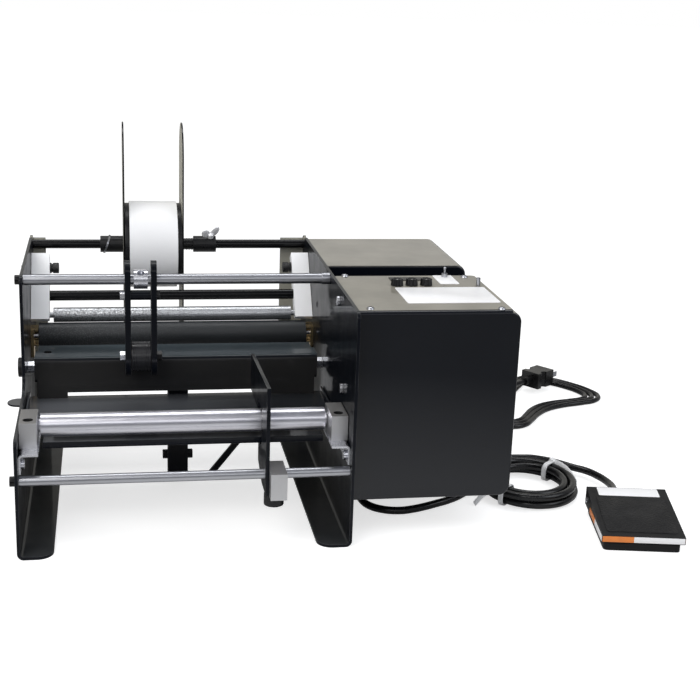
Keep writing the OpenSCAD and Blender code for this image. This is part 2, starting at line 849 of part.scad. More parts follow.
// Clamp knob of the peel plate, outside the left plate.
module peel_knob() {
    tip = 3;
    color("#161718") {
        bar(peel_knob_d, -outer - room - peel_knob_w, -outer - room, peel_bolt_y, peel_bolt_z);
        bar(peel_bolt_d, -outer - room - cut, -peel_half + peel_t + nut_w + tip, peel_bolt_y, peel_bolt_z);
    }
}

// Rear leg: a channel on a foot plate, a cross bolt, and a bar that props the tray's rear flange.
module rear_leg() {
    stay_z = tray_h - tray_t - tray_drop;
    bolt_d = 6;
    bolt_head_d = 10;
    bolt_out = 5;
    color("#2a2b2e") {
        difference() {
            translate([-leg_w / 2, leg_y, foot_t]) cube([leg_w, leg_side, leg_top - foot_t]);
            translate([-leg_w / 2 + leg_t, leg_y + leg_t, foot_t - cut])
                cube([leg_w - 2 * leg_t, leg_side, leg_top - foot_t + 2 * cut]);
        }
        translate([-foot_w / 2, -foot_d / 2, 0]) linear_extrude(foot_t) round_rect(foot_w, foot_d, 4);
        bar(bolt_d, -leg_w / 2 - bolt_out, leg_w / 2 + bolt_out, leg_bolt_y, leg_bolt_z);
        bar(bolt_head_d, -leg_w / 2 - bolt_out, -leg_w / 2, leg_bolt_y, leg_bolt_z, 6);
        bar(bolt_head_d, leg_w / 2, leg_w / 2 + bolt_out, leg_bolt_y, leg_bolt_z, 6);
        wall(leg_y, leg_t + 1) polygon([
            [stay_foot_x, foot_t - cut], [stay_foot_x + stay_w * 1.6, foot_t - cut],
            [stay_top_x, stay_z + stay_w], [stay_top_x, tray_h - tray_t - 2],
            [stay_top_x - stay_w, tray_h - tray_t - 2], [stay_top_x - stay_w, stay_z + stay_w * 1.6]
        ]);
    }
}

module upper_rod() {
    color("#d8dadc") difference() {
        union() {
            bar(upper_rod_d, -half, half, upper_y, upper_z);
            bar(rod_sleeve_d, half - rod_sleeve_w, half, upper_y, upper_z);
            bar(screw_d, half - cut, outer, upper_y, upper_z);
        }
        bar(screw_d + 2 * run, -half - cut, -half + screw_in, upper_y, upper_z);
    }
}

module front_rod() {
    color("#d8dadc") difference() {
        union() {
            bar(front_rod_d, -half, half, front_y, front_rod_h);
            bar(screw_d, half - cut, outer, front_y, front_rod_h);
        }
        bar(screw_d + 2 * run, -half - cut, -half + screw_in, front_y, front_rod_h);
    }
}

// Angle brackets on the side plates that carry the bearing blocks.
module roller_brackets() {
    color("#b9bbbd") both_sides() difference() {
        translate([half, 0, block_z0]) mirror([1, 0, 0])
            wall(bracket_y0, bracket_len) mirror([0, 1])
                angle_section(bracket_shelf, bracket_drop, bracket_t, 2 * bracket_t);
        for (y = bracket_screws)
            bar(screw_d + 2 * run, half - bracket_t - cut, half + cut, y, bracket_screw_z);
        translate([block_bolt_x, block_bolt_y, block_z0 - bracket_t - cut])
            cylinder(d = block_bolt_d + 2 * run, h = bracket_t + 2 * cut);
    }
}

// Bearing blocks with a counterbored bolt hole ahead of the axle.
module bearing_blocks() {
    color("#c9cbcd") both_sides() difference() {
        translate([block_x0, block_y0, block_z0]) cube([block_w, block_d, block_h]);
        bar(front_axle_d + 2 * run, block_x0 - cut, block_x0 + block_w + cut, front_roller_y, front_roller_h);
        translate([block_bolt_x, block_bolt_y, block_z0 - cut])
            cylinder(d = block_bolt_d + 2 * run, h = block_h + 2 * cut);
        translate([block_bolt_x, block_bolt_y, block_z0 + block_h - bore_head_depth])
            cylinder(d = bore_head_d, h = bore_head_depth + cut);
    }
}

module front_axle() {
    color("#d0d2d4") bar(front_axle_d, -half + tray_gap, half - tray_gap, front_roller_y, front_roller_h);
}

module front_roller() {
    face_x = block_x0 - 2;
    hub_x = block_x0 - room;
    hub_d = front_axle_d + 4;
    color("#cfd1d3") difference() {
        union() {
            bar(front_roller_d, -face_x, face_x, front_roller_y, front_roller_h);
            bar(hub_d, -hub_x, hub_x, front_roller_y, front_roller_h);
        }
        bar(front_axle_d + 2 * run, -hub_x - cut, hub_x + cut, front_roller_y, front_roller_h);
    }
}

// Brass bearings of the drive shaft: a plate on the side sheet and two lips, open to the front.
module drive_bearings() {
    color("#b08d4a") both_sides() difference() {
        union() {
            slab(half - bearing_t, bearing_t)
                translate([drive_y - bearing_d / 2, drive_h - bearing_down])
                    square([bearing_d, bearing_up + bearing_down]);
            for (z = [-bearing_up, bearing_up - bearing_lip])
                translate([half - bearing_reach, drive_y - bearing_d / 2, drive_h + z])
                    cube([bearing_reach, bearing_d, bearing_lip]);
        }
        bar(shaft_d + 2 * run, half - bearing_t - cut, half + cut, drive_y, drive_h);
    }
}

module drive_shaft() {
    color("#b8babc") bar(shaft_d, -outer, shaft_end, drive_y, drive_h);
}

module drive_sleeve() {
    color("#141516") difference() {
        bar(sleeve_d, -sleeve_half, sleeve_half, drive_y, drive_h);
        bar(shaft_d + 2 * run, -sleeve_half - cut, sleeve_half + cut, drive_y, drive_h);
    }
}

// A belt pulley with two rims.
module pulley(y, z) {
    bar(pulley_d, pulley_x, pulley_x + pulley_w, y, z);
    for (x = [pulley_x, pulley_x + pulley_w - pulley_rim])
        bar(pulley_flange_d, x, x + pulley_rim, y, z);
}

module driven_pulley() {
    color("#8f9193") difference() {
        pulley(drive_y, drive_h);
        bar(shaft_d + 2 * run, pulley_x - cut, pulley_x + pulley_w + cut, drive_y, drive_h);
    }
}

module motor_pulley() {
    color("#8f9193") {
        pulley(drive_y, motor_z);
        bar(motor_shaft_d, pulley_x, motor_face + motor_flange_t + gearhead_len, drive_y, motor_z);
    }
}

// Belt round the two equal pulleys.
module belt_outline(r) {
    translate([drive_y, drive_h]) circle(r);
    translate([drive_y, motor_z]) circle(r);
    translate([drive_y - r, motor_z]) square([2 * r, belt_drop]);
}

module drive_belt() {
    inner = pulley_d / 2 + room;
    color("#1a1a1a") slab(pulley_x + (pulley_w - belt_w) / 2, belt_w) difference() {
        belt_outline(inner + belt_t);
        belt_outline(inner);
    }
}

// Gear motor on four pillars from the right plate.
module gear_motor() {
    bore_end = motor_face + motor_flange_t + gearhead_len + room;
    can_x = motor_face + motor_flange_t + gearhead_len;
    cap_d = 20;
    cap_w = 4;
    color("#6d7073") difference() {
        union() {
            slab(motor_face, motor_flange_t)
                translate([drive_y - motor_flange / 2, motor_z - motor_flange / 2])
                    round_rect(motor_flange, motor_flange, 5);
            for (y = [-motor_pillar_at, motor_pillar_at])
                for (z = [-motor_pillar_at, motor_pillar_at])
                    bar(motor_pillar_d, outer, motor_face + cut, drive_y + y, motor_z + z);
            bar(gearhead_d, motor_face + cut, can_x, drive_y, motor_z);
            bar(motor_d, can_x - cut, can_x + motor_len, drive_y, motor_z);
            bar(cap_d, can_x, can_x + motor_len + cap_w, drive_y, motor_z);
        }
        bar(motor_shaft_d + 2 * run, motor_face - cut, bore_end, drive_y, motor_z);
    }
}

// Places its children on the line of the lock blocks, with the lock screws at the origin.
module on_lock() {
    translate([0, lock_y, lock_z]) rotate([-lock_lean, 0, 0]) children();
}

// Lock blocks, cut away behind so that they clear the drive roller.
module lock_blocks() {
    low = -swing_len - lock_under;
    color("#e9e9e6") on_lock() both_sides() difference() {
        slab(lock_x0, lock_w) polygon([
            [-lock_t / 2, low], [0, low], [lock_t / 2, low + lock_t / 2],
            [lock_t / 2, lock_over], [-lock_t / 2, lock_over]
        ]);
        bar(lock_screw_d + 2 * run, lock_x0 - cut, lock_x1 + cut, 0, 0);
        bar(tie_d + 2 * run, lock_x0 - cut, lock_x1 + cut, 0, tie_up - swing_len);
        bar(pinch_axle_d + 2 * run, lock_x0 - cut, lock_x1 + cut, 0, -swing_len);
    }
}

module tie_bar() {
    color("#1b1c1e") on_lock() bar(tie_d, -lock_x1, lock_x1, 0, tie_up - swing_len);
}

module pinch_roller() {
    color("#bfc1c3") on_lock() {
        bar(pinch_d, -pinch_half, pinch_half, 0, -swing_len);
        bar(pinch_axle_d, -lock_x1, lock_x1, 0, -swing_len);
    }
}

// Lock screw of one side, with a knurled head inside the block.
module lock_screw() {
    groove_w = 1.5;
    head_x = lock_x0 - room - lock_head_w;
    difference() {
        union() {
            bar(lock_head_d, head_x, lock_x0 - room, lock_y, lock_z);
            bar(lock_screw_d, lock_x0 - room - cut, outer + nut_w + 2, lock_y, lock_z);
        }
        difference() {
            bar(lock_head_d + cut, lock_x0 - room - 3, lock_x0 - room - 3 + groove_w, lock_y, lock_z);
            bar(lock_head_d - 2, lock_x0 - room - 4, lock_x0 - room, lock_y, lock_z);
        }
    }
}

module left_lock_screw() {
    color("#17181a") mirror([1, 0, 0]) lock_screw();
}

module right_lock_screw() {
    color("#17181a") lock_screw();
}

module roll_spindle() {
    color("#1c1d1f") bar(spindle_d, -outer, outer, spindle_y, spindle_z);
}

// Two round-ended guides that keep the label roll in its place.
module roll_guides() {
    straight = paddle_h - paddle_w;
    color("#2b2b29") for (x = [paddle_left - paddle_t, paddle_right]) difference() {
        slab(x, paddle_t) translate([spindle_y, spindle_z]) {
            translate([-paddle_w / 2, -straight / 2]) square([paddle_w, straight]);
            for (z = [-straight / 2, straight / 2])
                translate([0, z]) circle(d = paddle_w);
        }
        bar(spindle_d + 2 * run, x - cut, x + paddle_t + cut, spindle_y, spindle_z);
    }
}

// Collars that hold the guides on the spindle; the right one has a neck and a screw hole.
module spindle_collars() {
    left_x = paddle_left - paddle_t;
    right_x = paddle_right + paddle_t;
    color("#242527") difference() {
        union() {
            bar(collar_d, left_x - collar_len, left_x, spindle_y, spindle_z);
            bar(neck_d, right_x, right_x + neck_len + cut, spindle_y, spindle_z);
            bar(collar_d, right_x + neck_len, right_x + neck_len + collar_len, spindle_y, spindle_z);
        }
        bar(spindle_d + 2 * run, left_x - collar_len - cut, right_x + neck_len + collar_len + cut,
            spindle_y, spindle_z);
        translate([wing_x, spindle_y, spindle_z]) rotate([wing_lean, 0, 0])
            cylinder(d = wing_d + 2 * run, h = collar_d);
    }
}

// Wing screw of the right collar, leaning to the front.
module wing_screw() {
    wing_w = 18;
    wing_h = 9;
    wing_t = 2;
    stem_d = 7;
    stem_h = 5;
    seat = collar_d / 2 + room;
    color("#c9cbcd") translate([wing_x, spindle_y, spindle_z]) rotate([wing_lean, 0, 0]) {
        translate([0, 0, spindle_d / 2 + room])
            cylinder(d = wing_d, h = seat - spindle_d / 2 + stem_h - room);
        translate([0, 0, seat]) cylinder(d = stem_d, h = stem_h);
        translate([-wing_w / 2, -wing_t / 2, seat + stem_h - 2]) difference() {
            cube([wing_w, wing_t, wing_h]);
            translate([wing_w / 2, -cut, wing_h + 3]) rotate([-90, 0, 0])
                cylinder(d = wing_w / 2, h = wing_t + 2 * cut);
        }
    }
}

// Core plug on which the label roll sits between two flanges, turning on the spindle.
module roll_hub() {
    color("#1a1b1c") difference() {
        union() {
            difference() {
                union() {
                    bar(hub_d, roll_x0 - hub_lip, roll_x1 + hub_lip, spindle_y, spindle_z);
                    for (x = [roll_x0 - hub_lip, roll_x1 + run])
                        bar(roll_d - 2 * hub_flange, x, x + hub_lip - run, spindle_y, spindle_z);
                }
                bar(hub_d - 2 * hub_rim, roll_x0 + hub_web, roll_x1 + hub_lip + cut, spindle_y, spindle_z);
            }
            bar(hub_boss_d, roll_x0, roll_x1 + hub_lip, spindle_y, spindle_z);
        }
        bar(spindle_d + 2 * run, roll_x0 - hub_lip - cut, roll_x1 + hub_lip + cut, spindle_y, spindle_z);
    }
}

module label_roll() {
    color("#f3f2ee") difference() {
        bar(roll_d, roll_x0, roll_x1, spindle_y, spindle_z);
        bar(core_d, roll_x0 - cut, roll_x1 + cut, spindle_y, spindle_z);
    }
}

// Collar that keeps the pressure arm in its place on the upper rod.
module arm_collar() {
    color("#cdcfd1") difference() {
        bar(arm_collar_d, arm_mid - arm_collar_w / 2, arm_mid + arm_collar_w / 2, upper_y, upper_z);
        bar(upper_rod_d + 2 * run, arm_mid - arm_collar_w, arm_mid + arm_collar_w, upper_y, upper_z);
        translate([arm_mid, upper_y, upper_z]) rotate([arm_set_lean, 0, 0])
            cylinder(d = arm_set_d, h = arm_collar_d);
    }
}

// The arm's two bars with the sleeve that spaces them.
module arm_bars() {
    color("#1e1f21") difference() {
        union() {
            for (x = [arm_x0, arm_x1 - bar_t]) slab(x, bar_t) translate([upper_y, 0]) {
                translate([-bar_w / 2, arm_roller_z - arm_tail])
                    square([bar_w, arm_len + arm_tail + arm_over]);
                translate([0, upper_z + arm_over]) circle(d = bar_w);
                translate([0, arm_roller_z - arm_tail]) circle(d = bar_w);
            }
            bar(arm_spacer_d, arm_x0 + bar_t - cut, arm_x1 - bar_t + cut, upper_y - bar_w / 4, arm_spacer_z);
        }
        bar(upper_rod_d + 2 * run, arm_x0 - cut, arm_x1 + cut, upper_y, upper_z);
        bar(arm_bolt_d + 2 * run, arm_x0 - cut, arm_x1 + cut, upper_y, arm_roller_z);
    }
}

// The roller's bolt and the sleeve's end screws.
module arm_bolts() {
    bolt_nut_w = 5;
    bolt_nut_d = 10;
    color("#c4c6c8") {
        bar(arm_bolt_d, arm_x0 - bolt_nut_w, arm_x1 + bolt_nut_w, upper_y, arm_roller_z);
        bar(bolt_nut_d, arm_x0 - bolt_nut_w, arm_x0, upper_y, arm_roller_z, 6);
        bar(bolt_nut_d, arm_x1, arm_x1 + bolt_nut_w, upper_y, arm_roller_z, 6);
        bar(head_d, arm_x0 - head_h, arm_x0, upper_y - bar_w / 4, arm_spacer_z, 6);
        bar(head_d, arm_x1, arm_x1 + 3, upper_y - bar_w / 4, arm_spacer_z);
    }
}

module arm_roller() {
    color("#28292b") difference() {
        bar(arm_roller_d, arm_x0 + bar_t + room, arm_x1 - bar_t - room, upper_y, arm_roller_z);
        bar(arm_bolt_d + 2 * run, arm_x0, arm_x1, upper_y, arm_roller_z);
    }
}

// Guide plate: a flag that reaches over the front roller, a stem before it and a foot under the tray.
module guide_plate() {
    color("#1a1b1d") difference() {
        slab(guide_x, guide_t) translate([front_y, 0]) polygon([
            [-guide_front, guide_foot_z], [guide_toe, guide_foot_z], [guide_foot_len, guide_toe_z],
            [guide_foot_len, guide_under_z], [guide_stem, guide_under_z], [guide_stem, guide_over_z],
            [guide_over_y, guide_over_z], [guide_over_y, guide_flag_z], [guide_reach, guide_flag_z],
            [guide_reach, guide_rear_h], [-guide_front, guide_h]
        ]);
        bar(front_rod_d + 2 * room, guide_x - cut, clamp_x0 + cut, front_y, front_rod_h);
    }
}

// Clamp block on the front rod, with the knob's hole from below.
module guide_block() {
    color("#c6c8ca") difference() {
        translate([clamp_x0, front_y - clamp_ahead, clamp_z0])
            cube([clamp_w, clamp_ahead + clamp_behind, clamp_z1 - clamp_z0]);
        bar(front_rod_d + 2 * run, clamp_x0 - cut, clamp_x0 + clamp_w + cut, front_y, front_rod_h);
        translate([clamp_mid, front_y, clamp_z0 - cut])
            cylinder(d = guide_screw_d + 2 * run, h = front_rod_h - clamp_z0);
    }
}

module guide_knob() {
    color("#151617") translate([clamp_mid, front_y, 0]) {
        translate([0, 0, clamp_z0 - room - guide_knob_h]) cylinder(d = guide_knob_d, h = guide_knob_h);
        translate([0, 0, clamp_z0 - room - cut])
            cylinder(d = guide_screw_d, h = front_rod_h - front_rod_d / 2 - clamp_z0 + cut);
    }
}

// Section of a box in X and Z, square at the plate and round at its right edges.
module box_section(x1, z1, inset) {
    r = box_r - inset;
    translate([outer, box_base + inset]) square([x1 - outer - box_r, z1 - box_base - 2 * inset]);
    translate([x1 - box_r - cut, box_base + box_r]) square([box_r + cut - inset, z1 - box_base - 2 * box_r]);
    for (z = [box_base + box_r, z1 - box_r])
        translate([x1 - box_r, z]) circle(r);
}

// A box shell, open to the plate inside a rim.
module box_shell(x1, y0, y1, z1) {
    difference() {
        wall(y0, y1 - y0) box_section(x1, z1, 0);
        intersection() {
            wall(y0 + box_wall, y1 - y0 - 2 * box_wall) box_section(x1, z1, box_wall);
            translate([outer + box_wall, y0, box_base]) cube([x1 - outer, y1 - y0, z1 - box_base]);
        }
        translate([outer - cut, y0 + box_rim, box_base + box_rim])
            cube([box_wall + 2 * cut, y1 - y0 - 2 * box_rim, z1 - box_base - 2 * box_rim]);
    }
}

// Control box, open at the top under its panel, with a screw post in each corner.
module control_box() {
    y1 = control_y0 + control_d;
    color("#1b1c1e") difference() {
        union() {
            difference() {
                box_shell(control_x1, control_y0, y1, panel_z);
                translate([outer + box_wall + 2, control_y0 + box_wall, panel_z - box_wall - cut])
                    cube([control_w - box_r - box_wall - 4, control_d - 2 * box_wall, box_wall + 2 * cut]);
            }
            for (x = post_x)
                for (y = post_y)
                    translate([x, y, panel_z - post_len]) intersection() {
                        translate([-post_d, -post_d, 0]) cube([2 * post_d, 2 * post_d, post_len]);
                        union() {
                            cylinder(d = post_d, h = post_len);
                            translate([-post_d / 2, y < control_y0 + control_d / 2 ? -6 : 0, 0])
                                cube([post_d, 6, post_len]);
                        }
                    }
        }
        for (x = post_x)
            for (y = post_y)
                translate([x, y, panel_z - post_len - cut]) cylinder(d = post_hole_d, h = post_len + 2 * cut);
    }
}

// Panel on the control box, with holes for the controls and its screws.
module control_panel() {
    color("#8d877c") difference() {
        translate([outer + panel_in, control_y0 + panel_in, panel_z])
            linear_extrude(panel_t)
                round_rect(control_w - panel_edge - panel_in, control_d - 2 * panel_in, 4);
        for (x = post_x)
            for (y = post_y)
                translate([x, y, panel_z - cut]) cylinder(d = post_hole_d, h = panel_t + 2 * cut);
        for (x = knob_x)
            translate([x, knob_y, panel_z - cut]) cylinder(d = bushing_d + 2 * run, h = panel_t + 2 * cut);
        translate([toggle_x, toggle_y, panel_z - cut])
            cylinder(d = toggle_bush_d + 2 * run, h = panel_t + 2 * cut);
    }
}

module drive_box() {
    color("#1b1c1e") box_shell(drive_x1, drive_box_y0, drive_box_y1, drive_top);
}

// Control bodies under the panel, the strip behind the knobs and the small stop post.
module panel_controls() {
    body = [8, 9, 12];
    stop_d = 4;
    stop_h = 8;
    color("#202123") {
        for (x = knob_x) difference() {
            union() {
                translate([x, knob_y, panel_z - pot_h]) cylinder(d = pot_d, h = pot_h);
                translate([x, knob_y, panel_z - cut]) cylinder(d = bushing_d, h = panel_t + cut);
            }
            translate([x, knob_y, control_top - pot_stem - room])
                cylinder(d = knob_shaft_d + 2 * run, h = pot_stem + cut);
        }
        translate([strip_x, strip_y, control_top]) cube([strip_w, strip_d, strip_h]);
        difference() {
            union() {
                translate([toggle_x - body[0] / 2, toggle_y - body[1] / 2, panel_z - body[2]]) cube(body);
                translate([toggle_x, toggle_y, panel_z - cut])
                    cylinder(d = toggle_bush_d, h = panel_t + toggle_bush_h + cut);
            }
            translate([toggle_x, toggle_y, control_top])
                cylinder(d = toggle_ball_d + 2 * room, h = toggle_bush_h + cut);
        }
        translate([stop_x, stop_y, control_top]) cylinder(d = stop_d, h = stop_h);
    }
}

// A control knob with a pointer ridge, on its shaft.
module control_knob(x) {
    ridge_w = 3;
    ridge_h = 2;
    translate([x, knob_y, 0]) {
        translate([0, 0, control_top + room]) cylinder(d = knob_d, h = knob_h - ridge_h);
        translate([-ridge_w / 2, -knob_d / 2 + 0.5, control_top + room])
            cube([ridge_w, knob_d - 1, knob_h]);
        translate([0, 0, control_top - pot_stem]) cylinder(d = knob_shaft_d, h = pot_stem + cut);
    }
}

module left_knob() {
    color("#141516") control_knob(knob_x[0]);
}

module middle_knob() {
    color("#141516") control_knob(knob_x[1]);
}

module right_knob() {
    color("#141516") control_knob(knob_x[2]);
}

// Toggle lever on its cross pin, standing in its bushing.
module toggle_lever() {
    tip_d = 3;
    pin_d = 1;
    pin_out = 0.15;
    pin_half = toggle_ball_d / 2 + pin_out;
    color("#cfd1d3") translate([toggle_x, toggle_y, control_top + toggle_ball_d / 2 + room]) {
        sphere(d = toggle_ball_d);
        bar(pin_d, -pin_half, pin_half, 0, 0);
        cylinder(d = tip_d - 1, h = toggle_len);
        translate([0, 0, toggle_len]) sphere(d = tip_d);
    }
}

// Control board on standoffs from the right plate, with its transformer and relays.
module control_board() {
    color("#2e5d3a") {
        translate([board_x, board_y, board_z]) cube([board_t, board_d, board_h]);
        for (y = [board_y + standoff_in, board_y + board_d - standoff_in])
            for (z = [board_z + standoff_in, board_z + board_h - standoff_in])
                bar(standoff_d, outer, board_x + cut, y, z);
        translate([board_x, board_y + 16, board_z + 10]) cube([40, 50, 42]);
        for (z = [board_z + 66, board_z + 90])
            translate([board_x, board_y + 20, z]) cube([16, 28, 13]);
    }
}

// Places its children in the pedal's own frame.
module at_pedal() {
    translate(pedal_at) rotate(pedal_turn) children();
}

// Pedal base: a plate inside the tread's skirt, two hinge lugs and the cord's boss.
module pedal_base() {
    boss_w = gland_d + 4;
    color("#191a1b") at_pedal() difference() {
        union() {
            translate([-pedal_base_w / 2, -pedal_base_len / 2, 0]) linear_extrude(pedal_base_h)
                round_rect(pedal_base_w, pedal_base_len, 4);
            both_sides() slab(pedal_base_w / 2 - lug_w, lug_w) {
                translate([pin_y - pin_d, 1]) square([2 * pin_d, pin_z - 1]);
                translate([pin_y, pin_z]) circle(pin_d);
            }
            translate([gland_x - boss_w / 2, pedal_base_len / 2 - pedal_wall, 1])
                cube([boss_w, pedal_wall, gland_z + gland_d / 2]);
        }
        bar(pin_d + 2 * run, -pedal_w / 2, pedal_w / 2, pin_y, pin_z);
    }
}

// Side outline of the tread in Y and Z, shrunk by its walls for the hollow.
module tread_outline(side, top) {
    y0 = -pedal_len / 2 + side;
    y1 = pedal_len / 2 - side;
    rise = (tread_back_h - tread_front_h) / pedal_len;
    low = top > 0 ? -pedal_base_h : 0;
    polygon([
        [y0, pedal_base_h + tread_lift + low], [y0, tread_front_h + rise * side - top],
        [y1, tread_back_h - rise * side - top], [y1, pedal_base_h + tread_back_lift + low]
    ]);
}

// Pedal tread: a sloping cap over the base, with a notch for the cord's gland.
module pedal_tread() {
    notch_w = gland_d + 5;
    notch_top = gland_z + gland_d / 2 + 2.5;
    color("#222325") at_pedal() difference() {
        slab(-pedal_w / 2, pedal_w) tread_outline(0, 0);
        slab(-pedal_w / 2 + tread_wall, pedal_w - 2 * tread_wall) tread_outline(tread_wall, tread_top);
        bar(pin_d + 2 * run, -pedal_w, pedal_w, pin_y, pin_z);
        translate([gland_x - notch_w / 2, pedal_len / 2 - tread_wall - cut, 0])
            cube([notch_w, tread_wall + 2 * cut, notch_top]);
    }
}

module pedal_pin() {
    color("#c4c6c8") at_pedal() bar(pin_d, -pedal_w / 2 - room, pedal_w / 2 + room, pin_y, pin_z);
}

// Return spring under the tread, drawn as its sleeve.
module pedal_spring() {
    rise = (tread_back_h - tread_front_h) / pedal_len;
    top = tread_front_h + rise * (spring_y - spring_d / 2 + pedal_len / 2) - tread_top - room;
    color("#9a9c9e") at_pedal() translate([0, spring_y, pedal_base_h]) difference() {
        cylinder(d = spring_d, h = top - pedal_base_h);
        translate([0, 0, -cut]) cylinder(d = spring_d - 2 * spring_wall, h = top + cut);
    }
}

module pedal_switch() {
    plunger_d = 3;
    plunger_h = 2.6;
    color("#303234") at_pedal() translate([-switch_size[0] / 2, 8, pedal_base_h]) {
        cube(switch_size);
        translate([switch_size[0] / 2, switch_size[1] / 2, 0])
            cylinder(d = plunger_d, h = switch_size[2] + plunger_h);
    }
}

// Cord glands under and behind the drive box, and at the back of the pedal.
module cord_glands() {
    color("#161718") {
        translate([lead_gland[0], lead_gland[1], box_base - lead_gland_h])
            cylinder(d = lead_gland_d, h = lead_gland_h);
        translate([power_gland[0], drive_box_y1, power_gland[1]]) rotate([-90, 0, 0])
            cylinder(d = power_gland_d, h = power_gland_len);
        at_pedal() translate([gland_x, pedal_len / 2 - tread_wall - pedal_inset, gland_z]) rotate([-90, 0, 0])
            cylinder(d = gland_d, h = gland_len + tread_wall + pedal_inset);
    }
}

module pedal_cord_lead() {
    color("#121314") tube(lead_points, pedal_cord_r, 10, [1, 0, 0]);
}

module pedal_cord_coil() {
    color("#121314") tube(coil_points, pedal_cord_r, 6, [0, 0, 1]);
}

module pedal_cord_tail() {
    color("#121314") tube(tail_points, pedal_cord_r, 10, [0, 0, 1]);
}

// Ties round the coil's bundle, each with its free end: [place round the coil, turn and dip of the free end].
module cord_ties() {
    tie_h = coil_z + coil_lift + pedal_cord_r + 0.4;
    strap_len = 34;
    color("#e4e4de") for (tie = [[38, -80, -14], [221, -12, 14]]) {
        side = [cos(tie[0]), coil_stretch * sin(tie[0])];
        inner_r = (coil_r - coil_step * coil_back) * norm(side) - pedal_cord_r - 1.5;
        outer_r = coil_r * norm(side) + pedal_cord_r + 1.5;
        translate([coil_at[0], coil_at[1], 0]) rotate(atan2(side[1], side[0])) {
            difference() {
                translate([inner_r - tie_t, -tie_w / 2, 0])
                    cube([outer_r - inner_r + 2 * tie_t, tie_w, tie_h + tie_t]);
                translate([inner_r, -tie_w, tie_t]) cube([outer_r - inner_r, 2 * tie_w, tie_h - tie_t]);
            }
            translate([outer_r - tie_w, 0, tie_h]) rotate([0, tie[2], tie[1]])
                translate([0, -tie_w / 2, 0]) cube([strap_len, tie_w, tie_t]);
        }
    }
}

module power_cord_lead() {
    color("#121314") tube(power_points, power_cord_r, 10, [1, 0, 0]);
}

module power_cord_hank() {
    color("#121314") tube(hank_points, power_cord_r, 6, [0, 0, 1]);
}

// Plug with two flat blades and a round pin.
module power_plug() {
    face = plug_relief_len + plug_len;
    grip_d = 9;
    color("#151617") translate(hank_place(plug_at)) rotate(hank_turn) {
        rotate([0, 90, 0]) cylinder(d = plug_relief_d, h = plug_relief_len + cut);
        translate([plug_relief_len, -plug_w / 2, -plug_h / 2]) difference() {
            cube([plug_len, plug_w, plug_h]);
            for (y = [0, plug_w])
                translate([plug_len / 2 - 4, y, -cut]) cylinder(d = grip_d, h = plug_h + 2 * cut);
        }
        for (y = [-blade_apart / 2, blade_apart / 2])
            translate([face - cut, y - blade_t / 2, -blade_w / 2]) cube([blade_len + cut, blade_t, blade_w]);
        translate([face - cut, 0, -plug_h / 2 + 4]) rotate([0, 90, 0])
            cylinder(d = earth_d, h = blade_len + cut);
    }
}

left_side_plate();
right_side_plate();
tray();
peel_plate();
frame_screws();
peel_knob();
rear_leg();
upper_rod();
front_rod();
roller_brackets();
bearing_blocks();
front_axle();
front_roller();
drive_bearings();
drive_shaft();
drive_sleeve();
driven_pulley();
drive_belt();
motor_pulley();
gear_motor();
lock_blocks();
tie_bar();
pinch_roller();
left_lock_screw();
right_lock_screw();
roll_spindle();
roll_guides();
spindle_collars();
wing_screw();
roll_hub();
label_roll();
arm_collar();
arm_bars();
arm_bolts();
arm_roller();
guide_plate();
guide_block();
guide_knob();
control_box();
control_panel();
drive_box();
panel_controls();
left_knob();
middle_knob();
right_knob();
toggle_lever();
control_board();
pedal_base();
pedal_tread();
pedal_pin();
pedal_spring();
pedal_switch();
cord_glands();
pedal_cord_lead();
pedal_cord_coil();
pedal_cord_tail();
cord_ties();
power_cord_lead();
power_cord_hank();
power_plug();
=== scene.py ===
# Bottle labeling machine, dressed for the render: finishes, broken edges, cords and small fittings.
# Metres, +Z up, front towards -Y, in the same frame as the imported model.
import json
import math
import bmesh
import bpy
from mathutils import Matrix, Vector

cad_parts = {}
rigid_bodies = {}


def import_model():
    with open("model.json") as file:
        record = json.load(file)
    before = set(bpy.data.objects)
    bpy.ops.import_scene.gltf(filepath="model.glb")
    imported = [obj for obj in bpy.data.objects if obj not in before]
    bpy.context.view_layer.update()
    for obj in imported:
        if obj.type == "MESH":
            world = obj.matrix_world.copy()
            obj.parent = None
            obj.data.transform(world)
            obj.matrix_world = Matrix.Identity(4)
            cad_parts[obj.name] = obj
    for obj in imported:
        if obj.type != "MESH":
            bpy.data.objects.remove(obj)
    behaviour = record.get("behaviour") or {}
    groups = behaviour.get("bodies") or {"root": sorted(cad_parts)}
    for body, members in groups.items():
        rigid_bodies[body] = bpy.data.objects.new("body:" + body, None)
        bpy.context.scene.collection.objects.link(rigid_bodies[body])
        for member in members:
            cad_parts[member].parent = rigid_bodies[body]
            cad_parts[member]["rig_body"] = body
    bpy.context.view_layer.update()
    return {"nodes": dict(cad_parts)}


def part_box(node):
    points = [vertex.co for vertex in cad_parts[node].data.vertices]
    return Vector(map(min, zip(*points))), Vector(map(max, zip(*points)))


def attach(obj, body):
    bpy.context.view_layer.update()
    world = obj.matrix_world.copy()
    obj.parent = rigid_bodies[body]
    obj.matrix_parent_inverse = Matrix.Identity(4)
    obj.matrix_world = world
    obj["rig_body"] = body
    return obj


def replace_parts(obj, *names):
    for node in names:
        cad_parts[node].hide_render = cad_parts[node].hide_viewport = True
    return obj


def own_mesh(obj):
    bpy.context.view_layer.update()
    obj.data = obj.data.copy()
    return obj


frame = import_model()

# Camera: it stands before the machine, a little to its left and above, with a slight tilt.
# The lens is a short telephoto, so that upright edges stay nearly parallel.
yaw = math.radians(10.67)
pitch = math.radians(16.25)
tilt = math.radians(-2.17)
stand = Vector((-0.0645, -1.2667, 0.5077))
picture_side = 700
focal_pixels = 1320
sensor = 36
forward = Vector((math.sin(yaw) * math.cos(pitch), math.cos(yaw) * math.cos(pitch), -math.sin(pitch)))
